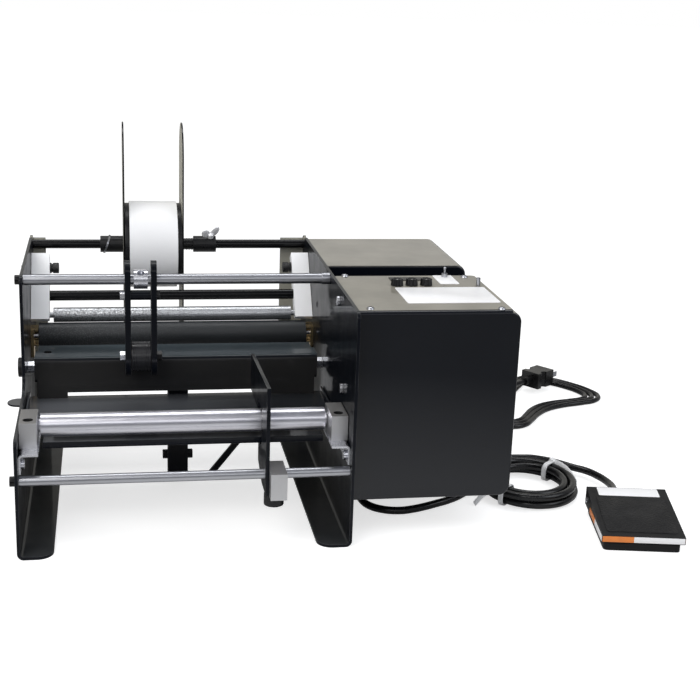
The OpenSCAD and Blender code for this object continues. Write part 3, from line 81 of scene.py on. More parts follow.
right = Vector((math.cos(yaw), -math.sin(yaw), 0))
down = forward.cross(right)
across = right * math.cos(tilt) + down * math.sin(tilt)
upward = right * math.sin(tilt) - down * math.cos(tilt)
lens = bpy.data.cameras.new("camera")
lens.sensor_width = sensor
lens.lens = sensor * focal_pixels / picture_side
lens.clip_end = 50
camera = bpy.data.objects.new("camera", lens)
camera.matrix_world = Matrix.Translation(stand) @ Matrix((across, upward, -forward)).transposed().to_4x4()
bpy.context.scene.collection.objects.link(camera)
bpy.context.scene.camera = camera
bpy.context.scene.view_settings.view_transform = "Standard"


# Room: white to the eye, dimmer for the light that reaches the machine.
# Gloss sees a pale wall behind the machine and a darker room before and above it.
def feed(tree, value, socket):
    if isinstance(value, bpy.types.NodeSocket):
        tree.links.new(value, socket)
    else:
        socket.default_value = value


def reckon(tree, operation, first, second):
    step = tree.nodes.new("ShaderNodeMath")
    step.operation = operation
    feed(tree, first, step.inputs[0])
    feed(tree, second, step.inputs[1])
    return step.outputs[0]


def ranged(tree, value, low, high, to_low=0.0, to_high=1.0):
    step = tree.nodes.new("ShaderNodeMapRange")
    step.inputs["From Min"].default_value = low
    step.inputs["From Max"].default_value = high
    step.inputs["To Min"].default_value = to_low
    step.inputs["To Max"].default_value = to_high
    tree.links.new(value, step.inputs["Value"])
    return step.outputs["Result"]


def mixed(tree, mask, first, second):
    layer = tree.nodes.new("ShaderNodeMix")
    layer.data_type = "RGBA"
    feed(tree, mask, layer.inputs[0])
    feed(tree, first, layer.inputs[6])
    feed(tree, second, layer.inputs[7])
    return layer.outputs[2]


white = (1, 1, 1, 1)
room_light = (0.50, 0.51, 0.53, 1)
dark_gloss = (0.13, 0.135, 0.16, 1)
wall_gloss = (0.55, 0.54, 0.51, 1)
world = bpy.data.worlds.new("white_room")
bpy.context.scene.world = world
world.use_nodes = True
room = world.node_tree
backdrop = room.nodes["Background"]
backdrop.inputs["Strength"].default_value = 1.0
heading = room.nodes.new("ShaderNodeTexCoord")
compass = room.nodes.new("ShaderNodeSeparateXYZ")
room.links.new(heading.outputs["Generated"], compass.inputs[0])
behind = ranged(room, compass.outputs["Y"], -0.1, 0.6)
low_down = ranged(room, compass.outputs["Z"], 0.75, 0.35)
gloss = mixed(room, reckon(room, "MULTIPLY", behind, low_down), dark_gloss, wall_gloss)
ray = room.nodes.new("ShaderNodeLightPath")
dim = mixed(room, ray.outputs["Is Glossy Ray"], room_light, gloss)
looked_at = reckon(room, "MAXIMUM", ray.outputs["Is Camera Ray"], ray.outputs["Is Transmission Ray"])
room.links.new(mixed(room, looked_at, dim, white), backdrop.inputs["Color"])

# Floor: one plain white sheet under the machine, which takes its shadow and is white further off.
# Beyond the shadow it is lit by its own colour, so that no far edge shows.
floor_half = 12
floor_sheen = 0.08
bm = bmesh.new()
bmesh.ops.create_grid(bm, x_segments=1, y_segments=1, size=floor_half)
floor_mesh = bpy.data.meshes.new("floor")
bm.to_mesh(floor_mesh)
bm.free()
floor = bpy.data.objects.new("floor", floor_mesh)
bpy.context.scene.collection.objects.link(floor)
floor_paint = bpy.data.materials.new("floor_white")
floor_paint.use_nodes = True
floor_tree = floor_paint.node_tree
floor_shader = floor_tree.nodes["Principled BSDF"]
floor_shader.inputs["Roughness"].default_value = 0.9
floor_shader.inputs["Specular IOR Level"].default_value = 0.0
floor_shader.inputs["Emission Color"].default_value = white
floor_place = floor_tree.nodes.new("ShaderNodeTexCoord")
far_off = floor_tree.nodes.new("ShaderNodeVectorMath")
far_off.operation = "DISTANCE"
far_off.inputs[1].default_value = (0.15, 0, 0)
floor_tree.links.new(floor_place.outputs["Object"], far_off.inputs[0])
glow = ranged(floor_tree, far_off.outputs["Value"], 0.25, 0.75, 0.66, 1.0)
# The floor's own colour darkens away from the machine, so that gloss sees a dim room there: painted shade.
tone = ranged(floor_tree, far_off.outputs["Value"], 0.25, 0.7, 0.62, 0.12)
floor_tree.links.new(tone, floor_shader.inputs["Base Color"])
ray = floor_tree.nodes.new("ShaderNodeLightPath")
sheen = reckon(floor_tree, "MULTIPLY", ray.outputs["Is Glossy Ray"], floor_sheen)
looked_at = reckon(floor_tree, "MAXIMUM", ray.outputs["Is Camera Ray"], ray.outputs["Is Transmission Ray"])
shining = reckon(floor_tree, "MAXIMUM", looked_at, sheen)
floor_tree.links.new(reckon(floor_tree, "MULTIPLY", glow, shining), floor_shader.inputs["Emission Strength"])
floor_mesh.materials.append(floor_paint)


# Lamps: a broad soft box high on the left, a weaker one on the right, one overhead and a strip in front.
# They sit well back, so that their edges stay soft in the paint.
def soft_box(name, place, aim, size, power, colour):
    lamp = bpy.data.lights.new(name, "AREA")
    lamp.shape = "RECTANGLE"
    lamp.size = size[0]
    lamp.size_y = size[1]
    lamp.energy = power
    lamp.color = colour
    holder = bpy.data.objects.new(name, lamp)
    holder.rotation_euler = (Vector(aim) - Vector(place)).to_track_quat("-Z", "Y").to_euler()
    holder.location = place
    bpy.context.scene.collection.objects.link(holder)


soft_box("key_lamp", (-1.1, -1.2, 1.7), (0.05, -0.05, 0.1), (1.6, 1.4), 27, (1.0, 0.98, 0.95))
soft_box("fill_lamp", (1.5, -0.9, 1.3), (0.1, -0.05, 0.1), (1.3, 1.3), 11, (0.93, 0.96, 1.0))
soft_box("top_lamp", (0.1, 0.5, 1.9), (0.1, 0.0, 0.1), (1.8, 0.5), 12, (1.0, 1.0, 1.0))
soft_box("strip_lamp", (0.0, -1.6, 0.85), (0.05, -0.1, 0.1), (2.0, 0.4), 3.2, (1.0, 1.0, 1.0))


# Side plates: two 3 mm steel sheets with bent floor and rear flanges, lacquered in gloss black.
# The lacquer is smooth. It is painted lighter grey along the edges, part wear and part painted highlight, and
# lighter on what faces up, part dust and part painted reflection.
def start_finish(name, colour, metal, rough):
    finish = bpy.data.materials.new(name)
    finish.use_nodes = True
    shader = finish.node_tree.nodes["Principled BSDF"]
    shader.inputs["Base Color"].default_value = (*colour, 1)
    shader.inputs["Metallic"].default_value = metal
    shader.inputs["Roughness"].default_value = rough
    place = finish.node_tree.nodes.new("ShaderNodeTexCoord")
    place.name = "place"
    return finish


def dial(finish, socket, value):
    finish.node_tree.nodes["Principled BSDF"].inputs[socket].default_value = value


def clouds(finish, scale, detail=4.0, stretch=(1, 1, 1)):
    tree = finish.node_tree
    spread = tree.nodes.new("ShaderNodeMapping")
    spread.inputs["Scale"].default_value = stretch
    tree.links.new(tree.nodes["place"].outputs["Object"], spread.inputs["Vector"])
    noise = tree.nodes.new("ShaderNodeTexNoise")
    noise.inputs["Scale"].default_value = scale
    noise.inputs["Detail"].default_value = detail
    tree.links.new(spread.outputs["Vector"], noise.inputs["Vector"])
    return noise.outputs["Fac"]


def between(finish, mask, *span):
    return ranged(finish.node_tree, mask, *span)


def times(finish, first, second):
    return reckon(finish.node_tree, "MULTIPLY", first, second)


def stain(finish, mask, colour):
    tree = finish.node_tree
    base = tree.nodes["Principled BSDF"].inputs["Base Color"]
    under = base.links[0].from_socket if base.is_linked else base.default_value
    tree.links.new(mixed(tree, mask, under, (*colour, 1)), base)


def mottle(finish, scale, detail, low, high, amount, colour, stretch=(1, 1, 1)):
    stain(finish, between(finish, clouds(finish, scale, detail, stretch), low, high, 0.0, amount), colour)


def uneven_gloss(finish, low, high, scale, detail=4.0, stretch=(1, 1, 1)):
    tree = finish.node_tree
    rough = between(finish, clouds(finish, scale, detail, stretch), 0.3, 0.7, low, high)
    tree.links.new(rough, tree.nodes["Principled BSDF"].inputs["Roughness"])


def grain(finish, mask, depth, strength):
    tree = finish.node_tree
    relief = tree.nodes.new("ShaderNodeBump")
    relief.inputs["Distance"].default_value = depth
    relief.inputs["Strength"].default_value = strength
    tree.links.new(mask, relief.inputs["Height"])
    tree.links.new(relief.outputs["Normal"], tree.nodes["Principled BSDF"].inputs["Normal"])


def edges(finish, radius):
    tree = finish.node_tree
    rounded = tree.nodes.new("ShaderNodeBevel")
    rounded.inputs["Radius"].default_value = radius
    rounded.samples = 6
    flat = tree.nodes.new("ShaderNodeNewGeometry")
    turn = tree.nodes.new("ShaderNodeVectorMath")
    turn.operation = "DOT_PRODUCT"
    tree.links.new(rounded.outputs["Normal"], turn.inputs[0])
    tree.links.new(flat.outputs["Normal"], turn.inputs[1])
    return between(finish, turn.outputs["Value"], 0.98, 0.86)


def part_of(finish, output, axis):
    tree = finish.node_tree
    split = tree.nodes.new("ShaderNodeSeparateXYZ")
    tree.links.new(tree.nodes["place"].outputs[output], split.inputs[0])
    return split.outputs[axis]


def gloss_black(name, dust_and_sheen, dust_and_sheen_colour, coat):
    paint = start_finish(name, (0.0021, 0.0031, 0.0058), 0.0, 0.4)
    dial(paint, "Specular IOR Level", 0.05)
    dial(paint, "Coat Weight", coat)
    dial(paint, "Coat Roughness", 0.06)
    mottle(paint, 9, 4, 0.4, 0.75, 0.7, (0.0034, 0.0045, 0.0074))
    # What faces up is painted lighter: part dust, part a painted reflection of the pale room above.
    upward_faces = between(paint, part_of(paint, "Normal", "Z"), 0.6, 0.98)
    patchy = between(paint, clouds(paint, 22, 8), 0.25, 0.7, dust_and_sheen * 0.7, dust_and_sheen)
    stain(paint, times(paint, upward_faces, patchy), dust_and_sheen_colour)
    # The edges are painted lighter grey: part worn lacquer, part a painted highlight.
    rubbed_and_lit = between(paint, clouds(paint, 60), 0.35, 0.7, 0.1, 0.9)
    stain(paint, times(paint, edges(paint, 0.0007), rubbed_and_lit), (0.13, 0.13, 0.135))
    uneven_gloss(paint, 0.34, 0.46, 35)
    grain(paint, clouds(paint, 500, 2), 0.00005, 0.08)
    return paint


def smooth_piece(name, bm, finish, body):
    for face in bm.faces:
        face.smooth = True
    for edge in bm.edges:
        edge.smooth = len(edge.link_faces) == 2 and edge.calc_face_angle(0) < math.radians(38)
    mesh = bpy.data.meshes.new(name)
    bm.to_mesh(mesh)
    bm.free()
    mesh.materials.append(finish)
    piece = bpy.data.objects.new(name, mesh)
    bpy.context.scene.collection.objects.link(piece)
    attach(piece, body)
    return piece


def ease(bm, chosen, width, segments, clamp=False):
    bmesh.ops.bevel(bm, geom=chosen, offset=width, offset_type="OFFSET", affect="EDGES", segments=segments,
                    profile=0.5, material=-1, clamp_overlap=clamp)


def sharp_edges(bm):
    return [e for e in bm.edges if len(e.link_faces) == 2 and e.calc_face_angle(0) > math.radians(40)]


def broken_edges(node, width, finish, folds=None, fold_width=0.0):
    bm = bmesh.new()
    bm.from_mesh(frame["nodes"][node].data)
    bmesh.ops.remove_doubles(bm, verts=bm.verts, dist=0.00001)
    bmesh.ops.dissolve_limit(bm, angle_limit=math.radians(0.8), verts=bm.verts, edges=bm.edges)
    if folds:
        ease(bm, [e for e in sharp_edges(bm) if all(folds(v.co) for v in e.verts)], fold_width, 5, True)
    ease(bm, sharp_edges(bm), width, 2, True)
    piece = smooth_piece(node + "_piece", bm, finish, frame["nodes"][node]["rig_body"])
    even = piece.modifiers.new("even_shading", "WEIGHTED_NORMAL")
    even.keep_sharp = True
    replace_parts(piece, node)
    return piece


def paint_faces(piece, finish, chosen):
    piece.data.materials.append(finish)
    for face in piece.data.polygons:
        if chosen(face.center, face.normal):
            face.material_index = len(piece.data.materials) - 1


flange_reach = 0.006
black_paint = gloss_black("black_paint", 0.3, (0.10, 0.105, 0.105), 0.3)
# The front faces of the rear flanges are painted tan-grey: a painted reflection of warm light.
flange_reflection = start_finish("flange_reflection", (0.40, 0.39, 0.33), 0.0, 0.45)
uneven_gloss(flange_reflection, 0.36, 0.55, 30)
mottle(flange_reflection, 18, 6, 0.4, 0.8, 0.6, (0.28, 0.28, 0.25))
for plate in ("left_side_plate", "right_side_plate"):
    sheet = broken_edges(plate, 0.0006, black_paint)
    flange_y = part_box(plate)[1][1] - flange_reach
    paint_faces(sheet, flange_reflection, lambda centre, normal: normal.y < -0.9 and centre.y > flange_y)

# Tray and rear leg: bent sheet between the side plates, propped by a channel on a foot plate.
# Lacquered like the plates; the tray's top is painted lighter towards its left, a painted reflection.
tray_paint = gloss_black("tray_paint", 0.35, (0.06, 0.065, 0.07), 0.5)
# Painted reflection: the top is lighter towards the left.
reflection_left = between(tray_paint, part_of(tray_paint, "Object", "X"), 0.08, -0.13, 0.0, 0.9)
flat_top = between(tray_paint, part_of(tray_paint, "Normal", "Z"), 0.8, 0.98)
stain(tray_paint, times(tray_paint, reflection_left, flat_top), (0.095, 0.100, 0.110))
broken_edges("tray", 0.0006, tray_paint)
broken_edges("rear_leg", 0.0004, black_paint)

# Peel plate: one bent sheet over which the web turns back, bolted to the side plates.
# Its top is painted a cold grey, part wear where the web drags and part a painted reflection, and its front
# is painted a lighter brown-grey in patches.
peel_paint = gloss_black("peel_paint", 0.3, (0.06, 0.07, 0.075), 0.4)
# Painted on top: wear where the web drags and a painted reflection.
dragged_and_sheen = between(peel_paint, clouds(peel_paint, 30, 5, (0.25, 1, 1)), 0.3, 0.7, 0.2, 0.6)
flat_top = between(peel_paint, part_of(peel_paint, "Normal", "Z"), 0.8, 0.98)
stain(peel_paint, times(peel_paint, dragged_and_sheen, flat_top), (0.055, 0.078, 0.090))
front_face = between(peel_paint, part_of(peel_paint, "Normal", "Y"), -0.8, -0.98)
front_patches = between(peel_paint, clouds(peel_paint, 14, 5, (0.4, 1, 1)), 0.3, 0.7, 0.5, 1.0)
stain(peel_paint, times(peel_paint, front_patches, front_face), (0.026, 0.0255, 0.025))
broken_edges("peel_plate", 0.0006, peel_paint)


# Rods: ground and plated steel bar, drawn along their length, satin, and darker towards their edges, where a
# dimmed edge tint paints in shade.
# The upper rod carries the pressure arm and the front rod the bottle guide.
def bare_metal(name, colour, low, high, scale, lay, tarnish):
    metal = start_finish(name, colour, 1.0, low)
    uneven_gloss(metal, low, high, scale, 3, lay)
    mottle(metal, 30, 2, 0.45, 0.8, 0.5, tarnish)
    return metal


chrome = bare_metal("chrome", (0.50, 0.51, 0.54), 0.32, 0.34, 60, (0.02, 1, 1), (0.44, 0.45, 0.47))
# The dimmed edge tint is painted shade: it darkens the glint at grazing edges.
dial(chrome, "Specular Tint", (0.2, 0.2, 0.22, 1))
broken_edges("upper_rod", 0.0004, chrome)
broken_edges("front_rod", 0.0004, chrome)

# Brackets and bearing blocks: plated strip bent to a step, with a milled aluminium block on each.
# The block is sawn and left matt and is painted darker on top; its counterbore, which hides the bolt that
# holds it down, is painted near black as painted shade.
zinc = bare_metal("zinc", (0.80, 0.81, 0.85), 0.22, 0.32, 120, (1, 1, 1), (0.66, 0.68, 0.73))
broken_edges("roller_brackets", 0.0004, zinc)
milled = bare_metal("milled_aluminium", (0.66, 0.66, 0.67), 0.38, 0.46, 400, (1, 0.05, 1), (0.56, 0.56, 0.56))
# Its tops are painted darker.
darker_top = between(milled, part_of(milled, "Normal", "Z"), 0.7, 0.98, 0.0, 0.6)
stain(milled, darker_top, (0.30, 0.29, 0.27))
blocks = broken_edges("bearing_blocks", 0.0004, milled)
block_low, block_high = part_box("bearing_blocks")
bolt_x = block_high[0] - 0.0075
bolt_y = block_low[1] + 0.010
bore_r = 0.0047
bore_inset = 0.001
bore_shade = start_finish("bore_shade", (0.012, 0.012, 0.012), 0.0, 0.5)
uneven_gloss(bore_shade, 0.4, 0.6, 200)


def in_bore(centre, normal):
    off_axis = math.hypot(abs(centre.x) - bolt_x, centre.y - bolt_y)
    return off_axis < bore_r and block_low[2] + bore_inset < centre.z < block_high[2] - bore_inset


# Painted shade: the counterbore's walls are painted near black.
paint_faces(blocks, bore_shade, in_bore)

# Front roller: a turned aluminium tube that the bottle rolls on, over a steel axle.
# Fine turning marks run round it, so light draws out in bands along it.
turned_metal = bare_metal("turned_aluminium", (0.84, 0.84, 0.90), 0.29, 0.32, 300, (1, 0.01, 0.01),
                          (0.72, 0.72, 0.78))
grain(turned_metal, clouds(turned_metal, 1600, 2, (1, 0.02, 0.02)), 0.00001, 0.06)
broken_edges("front_roller", 0.0005, turned_metal)
steel = bare_metal("steel", (0.56, 0.57, 0.59), 0.2, 0.28, 200, (1, 0.1, 0.1), (0.42, 0.42, 0.43))
broken_edges("front_axle", 0.0003, steel)

# Frame screws: plated cap screws and nuts that hold the sheets, rods and boxes together.
# The two that hold the bearing blocks down sit deep in their counterbores and are painted near black there as
# painted shade, and the heads outside the left plate are painted black.
black_oxide = start_finish("black_oxide", (0.0045, 0.0046, 0.005), 0.0, 0.18)
uneven_gloss(black_oxide, 0.1, 0.15, 200, 3, (0.05, 1, 1))
dial(black_oxide, "Specular IOR Level", 0.3)
mottle(black_oxide, 40, 5, 0.5, 0.8, 0.6, (0.010, 0.010, 0.011))
frame_screws = broken_edges("frame_screws", 0.0004, zinc)
# Painted shade on the two heads inside the counterbores.
paint_faces(frame_screws, bore_shade, in_bore)
left_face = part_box("left_side_plate")[0][0]
paint_faces(frame_screws, black_oxide, lambda centre, normal: centre.x < left_face)

# Drive roller: a steel shaft with a gritty rubber sleeve that pulls the web, in brass bearings.
# The sleeve is painted with pale specks on the left, which fade out towards the right.
brass = bare_metal("brass", (0.78, 0.60, 0.34), 0.25, 0.36, 150, (1, 1, 1), (0.58, 0.43, 0.22))
broken_edges("drive_bearings", 0.0003, brass)
broken_edges("drive_shaft", 0.0003, steel)
sleeve_rubber = start_finish("sleeve_rubber", (0.019, 0.022, 0.025), 0.0, 0.5)
specked_side = between(sleeve_rubber, part_of(sleeve_rubber, "Object", "X"), 0.03, -0.09)
specks = between(sleeve_rubber, clouds(sleeve_rubber, 900, 2), 0.5, 0.68)
stain(sleeve_rubber, times(sleeve_rubber, specks, specked_side), (0.062, 0.065, 0.069))
uneven_gloss(sleeve_rubber, 0.42, 0.58, 40)
grain(sleeve_rubber, clouds(sleeve_rubber, 900, 2), 0.0002, 0.4)
broken_edges("drive_sleeve", 0.0004, sleeve_rubber)

# Belt drive inside the drive box: two rimmed aluminium pulleys, a rubber belt and a gear motor.
# The belt is tight round both pulleys, and the motor stands off the right plate on four pillars.
belt_rubber = start_finish("belt_rubber", (0.018, 0.018, 0.019), 0.0, 0.6)
uneven_gloss(belt_rubber, 0.5, 0.7, 60)
grain(belt_rubber, clouds(belt_rubber, 700, 2), 0.0002, 0.5)
broken_edges("drive_belt", 0.0003, belt_rubber)
for pulley in ("driven_pulley", "motor_pulley"):
    broken_edges(pulley, 0.0003, turned_metal)
broken_edges("gear_motor", 0.0006, steel)


# Pinch frame: two white plastic lock blocks on a tie bar, with the pinch roller between them.
# The roller is steel with a coarse knurl, worn to satin on the right; its hollows are painted darker and a
# dimmed edge tint darkens its grazing glint, both painted shade.
def edge_wear(finish, radius, amount, colour):
    stain(finish, between(finish, edges(finish, radius), 0.0, 1.0, 0.0, amount), colour)


def cells(finish, scale):
    tree = finish.node_tree
    pattern = tree.nodes.new("ShaderNodeTexVoronoi")
    pattern.inputs["Scale"].default_value = scale
    tree.links.new(tree.nodes["place"].outputs["Object"], pattern.inputs["Vector"])
    return pattern.outputs["Distance"]


white_plastic = start_finish("white_plastic", (0.92, 0.93, 0.95), 0.0, 0.35)
uneven_gloss(white_plastic, 0.34, 0.5, 80)
mottle(white_plastic, 24, 6, 0.5, 0.8, 0.4, (0.84, 0.84, 0.84))
edge_wear(white_plastic, 0.0008, 0.25, (0.45, 0.44, 0.41))
broken_edges("lock_blocks", 0.0008, white_plastic)
broken_edges("tie_bar", 0.0003, black_oxide)
knurled = bare_metal("knurled_steel", (0.66, 0.68, 0.70), 0.34, 0.42, 300, (1, 1, 1), (0.56, 0.58, 0.60))
# Painted shade: the dimmed edge tint darkens the glint along its top.
dial(knurled, "Specular Tint", (0.25, 0.25, 0.26, 1))
teeth = cells(knurled, 620)
fresh = between(knurled, part_of(knurled, "Object", "X"), 0.02, -0.05, 0.3, 1.0)
# Painted shade in the knurl's hollows.
shaded_hollows = between(knurled, teeth, 0.4, 0.9)
stain(knurled, times(knurled, shaded_hollows, fresh), (0.30, 0.30, 0.31))
grain(knurled, times(knurled, teeth, fresh), 0.0005, 0.55)
broken_edges("pinch_roller", 0.0004, knurled)

# Lock screws: two black thumb screws through the lock blocks, which the pinch frame swings on.
# They are turned steel, blackened, with a fine knurl round each head.
knurled_black = start_finish("knurled_black", (0.010, 0.010, 0.011), 0.0, 0.35)
grain(knurled_black, cells(knurled_black, 900), 0.0005, 0.7)
uneven_gloss(knurled_black, 0.28, 0.42, 90)
for screw in ("left_lock_screw", "right_lock_screw"):
    broken_edges(screw, 0.0006, knurled_black)

# Spindle, collars and roll guides: a black rod across the plates that the label roll turns on.
# The guides are thin tan sheets with black edges, set by two collars and a wing screw; the tan on their faces
# is partly their own colour and partly a painted reflection of warm light.
black_plastic = start_finish("black_plastic", (0.008, 0.008, 0.009), 0.0, 0.3)
dial(black_plastic, "Specular IOR Level", 0.35)
uneven_gloss(black_plastic, 0.24, 0.4, 80)
edge_wear(black_plastic, 0.0005, 0.6, (0.055, 0.055, 0.057))
grain(black_plastic, clouds(black_plastic, 800, 2), 0.00005, 0.3)
broken_edges("roll_spindle", 0.0003, black_oxide)
broken_edges("spindle_collars", 0.0006, black_plastic)
broken_edges("roll_hub", 0.0005, black_plastic)
# The tan is partly a painted reflection of warm light.
guide_tan = start_finish("guide_tan", (0.56, 0.545, 0.47), 0.0, 0.4)
uneven_gloss(guide_tan, 0.32, 0.5, 18)
mottle(guide_tan, 12, 6, 0.45, 0.8, 0.5, (0.44, 0.425, 0.36))
guides = broken_edges("roll_guides", 0.0004, black_oxide)
paint_faces(guides, guide_tan, lambda centre, normal: abs(normal.x) > 0.95)


def middle_of(node):
    low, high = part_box(node)
    return (Vector(low) + Vector(high)) / 2


def turned(profile, steps=32):
    bm = bmesh.new()
    points = [bm.verts.new((radius, 0, height)) for radius, height in profile]
    lines = [bm.edges.new(pair) for pair in zip(points[:-1], points[1:])]
    bmesh.ops.spin(bm, geom=points + lines, cent=(0, 0, 0), axis=(0, 0, 1), angle=math.tau, steps=steps,
                   use_merge=True)
    bmesh.ops.remove_doubles(bm, verts=bm.verts, dist=0.000001)
    bmesh.ops.recalc_face_normals(bm, faces=bm.faces)
    return bm


def gathered(shapes):
    whole = bmesh.new()
    for bm, place in shapes:
        bmesh.ops.transform(bm, matrix=place, verts=bm.verts)
        holder = bpy.data.meshes.new("holder")
        bm.to_mesh(holder)
        bm.free()
        whole.from_mesh(holder)
        bpy.data.meshes.remove(holder)
    return whole


spindle = middle_of("roll_spindle")
along = Matrix.Rotation(math.pi / 2, 4, "Y")
collars_low, collars_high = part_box("spindle_collars")
collar_len = 0.024
collar_r = 0.0087
clip_half = 0.0009
clip_inner = collar_r + 0.0001
clip_outer = collar_r + 0.0009
clip_inset = 0.007
clip_lean = 0.32
clip_stretch = 1.06
clip = turned(((clip_inner, -clip_half), (clip_outer, -clip_half), (clip_outer, clip_half),
               (clip_inner, clip_half), (clip_inner, -clip_half)))
clip_place = (Matrix.Translation((collars_low[0] + clip_inset, spindle.y, spindle.z))
              @ Matrix.Rotation(clip_lean, 4, "Y") @ along @ Matrix.Diagonal((clip_stretch, 1, 1, 1)))
smooth_piece("collar_clip", gathered([(clip, clip_place)]), chrome, "frame")
rib_profile = ((0.0050, -0.0008), (0.0064, -0.0004), (0.0064, 0.0004), (0.0050, 0.0008), (0.0050, -0.0008))
first_rib = collars_high[0] - collar_len - 0.0016
rib_pitch = 0.0028
rib_places = [(first_rib - rib_pitch * rib, spindle.y, spindle.z) for rib in range(3)]
neck_ribs = [(turned(rib_profile), Matrix.Translation(place) @ along) for place in rib_places]
smooth_piece("neck_ribs", gathered(neck_ribs), black_plastic, "frame")
cast_zinc = bare_metal("cast_zinc", (0.95, 0.95, 0.97), 0.3, 0.4, 120, (1, 1, 1), (0.84, 0.85, 0.88))
dial(cast_zinc, "Metallic", 0.4)
wing_half = (0.0044, 0.0013, 0.0062)
wing_out = 0.0054
wing_up = collar_r + 0.0062
wing_splay = 0.75
wing_lean = math.radians(25)
wing_twist = math.radians(24)
boss = turned(((0, 0.0051), (0.0020, 0.0051), (0.0020, collar_r + 0.0002), (0.0035, collar_r + 0.0004),
               (0.0035, collar_r + 0.0044), (0.0026, collar_r + 0.0054), (0, collar_r + 0.0056)))
wing_parts = [(boss, Matrix())]
for side in (-1, 1):
    wing = bmesh.new()
    bmesh.ops.create_uvsphere(wing, u_segments=24, v_segments=14, radius=1)
    wing_parts.append((wing, Matrix.Translation((side * wing_out, 0, wing_up))
                       @ Matrix.Rotation(side * wing_splay, 4, "Y") @ Matrix.Diagonal((*wing_half, 1))))
wing_screw = gathered(wing_parts)
wing_place = (Matrix.Translation((middle_of("wing_screw").x, spindle.y, spindle.z))
              @ Matrix.Rotation(wing_lean, 4, "X") @ Matrix.Rotation(wing_twist, 4, "Z"))
bmesh.ops.transform(wing_screw, matrix=wing_place, verts=wing_screw.verts)
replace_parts(smooth_piece("wing_screw_piece", wing_screw, cast_zinc, "wing_screw"), "wing_screw")

# Label roll: white paper labels on a backing web, wound tight on a core, so fine rings show on its ends.
# It slips over the hub and turns with it between the two guides.
label_paper = start_finish("label_paper", (0.86, 0.865, 0.88), 0.0, 0.5)
paper = label_paper.node_tree
centred = paper.nodes.new("ShaderNodeMapping")
centred.inputs["Location"].default_value = (0, -spindle.y, -spindle.z)
paper.links.new(paper.nodes["place"].outputs["Object"], centred.inputs["Vector"])
layers = paper.nodes.new("ShaderNodeTexWave")
layers.wave_type = "RINGS"
layers.rings_direction = "X"
layers.inputs["Scale"].default_value = 500
layers.inputs["Distortion"].default_value = 0.6
paper.links.new(centred.outputs["Vector"], layers.inputs["Vector"])
on_ends = between(label_paper, part_of(label_paper, "Normal", "X"), 0.9, 0.6, 1.0, 0.0)
stain(label_paper, times(label_paper, layers.outputs["Fac"], on_ends), (0.70, 0.70, 0.69))
mottle(label_paper, 14, 4, 0.45, 0.8, 0.4, (0.78, 0.79, 0.82))
grain(label_paper, clouds(label_paper, 900, 3), 0.00005, 0.4)
broken_edges("label_roll", 0.0003, label_paper)

# Pressure arm: two black bars on the upper rod with a rubber-tired roller that presses the label on.
# Cap screws with plated nuts on the left hold it together, and a plated collar keeps its place.
broken_edges("arm_bars", 0.0008, black_paint)
arm_screws = broken_edges("arm_bolts", 0.0004, zinc)
arm_low, arm_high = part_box("arm_bars")
nut_side = (arm_low[0] + arm_high[0]) / 2 - 0.0005
paint_faces(arm_screws, black_plastic, lambda centre, normal: centre.x > nut_side)
broken_edges("arm_collar", 0.0005, zinc)
tire_rubber = start_finish("tire_rubber", (0.012, 0.012, 0.014), 0.0, 0.3)
uneven_gloss(tire_rubber, 0.22, 0.34, 300, 3, (1, 0.05, 0.05))
mottle(tire_rubber, 250, 2, 0.5, 0.7, 0.6, (0.022, 0.022, 0.026), (1, 0.02, 0.02))
broken_edges("arm_roller", 0.0006, tire_rubber)

# Bottle guide: a black sheet screwed to an aluminium clamp block that slides on the front rod.
# A black knob under the block pinches it to the rod.
broken_edges("guide_plate", 0.0006, black_paint)
broken_edges("guide_block", 0.0006, milled)
broken_edges("guide_knob", 0.0008, black_plastic)

# Peel knob: a black plastic clamp knob outside the left plate.
# It is moulded on the end of the peel plate's bolt, and holds the plate at its angle.
broken_edges("peel_knob", 0.0008, black_plastic)

# Boxes: two folded steel covers on the right plate, one for the controls and one for the drive.
# Their gloss black is painted pale taupe on top, part dust and part a painted reflection of the room, and
# lighter along the folds as a painted highlight.
# Painted on top: dust and a painted reflection; painted highlight along the folds.
box_paint = gloss_black("box_paint", 0.95, (0.24, 0.226, 0.190), 0.95)
near = 0.0001
for box in ("control_box", "drive_box"):
    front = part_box(box)[0][1] + near
    broken_edges(box, 0.0005, box_paint, lambda corner: corner.y < front, 0.0025)


# Control panel: a painted lid held by four button-head screws, one near each corner.
# The lid stops short of the box's front, where the box folds over in one rounded lip.
def block(bm, low, high):
    bmesh.ops.create_cube(bm, size=1, matrix=Matrix.Translation((low + high) / 2)
                          @ Matrix.Diagonal((*(high - low), 1)))


# The lid is painted pale taupe: part dust and part a painted reflection of the room.
panel_paint = gloss_black("panel_paint", 0.97, (0.25, 0.236, 0.198), 0.6)
lid = broken_edges("control_panel", 0.0004, panel_paint)
panel_low, panel_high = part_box("control_panel")
panel_top = panel_high[2]
lip_deep = 0.0042
lip_tall = 0.0030
lip_round = 0.0034
lip_clear = 0.0002
lid_under_lip = 0.001
lid_front = panel_low[1] + lip_deep - lid_under_lip
lid_trim = panel_low[1] + 0.002
for point in lid.data.vertices:
    if point.co.y < lid_trim:
        point.co.y = lid_front
box_low, box_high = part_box("control_box")
lip_low = Vector((box_low[0] + 0.0006, box_low[1] + lip_clear, box_high[2] - lip_tall))
lip_high = Vector((panel_high[0] - 0.0005, box_low[1] + lip_deep - lip_clear, panel_top - lip_clear))
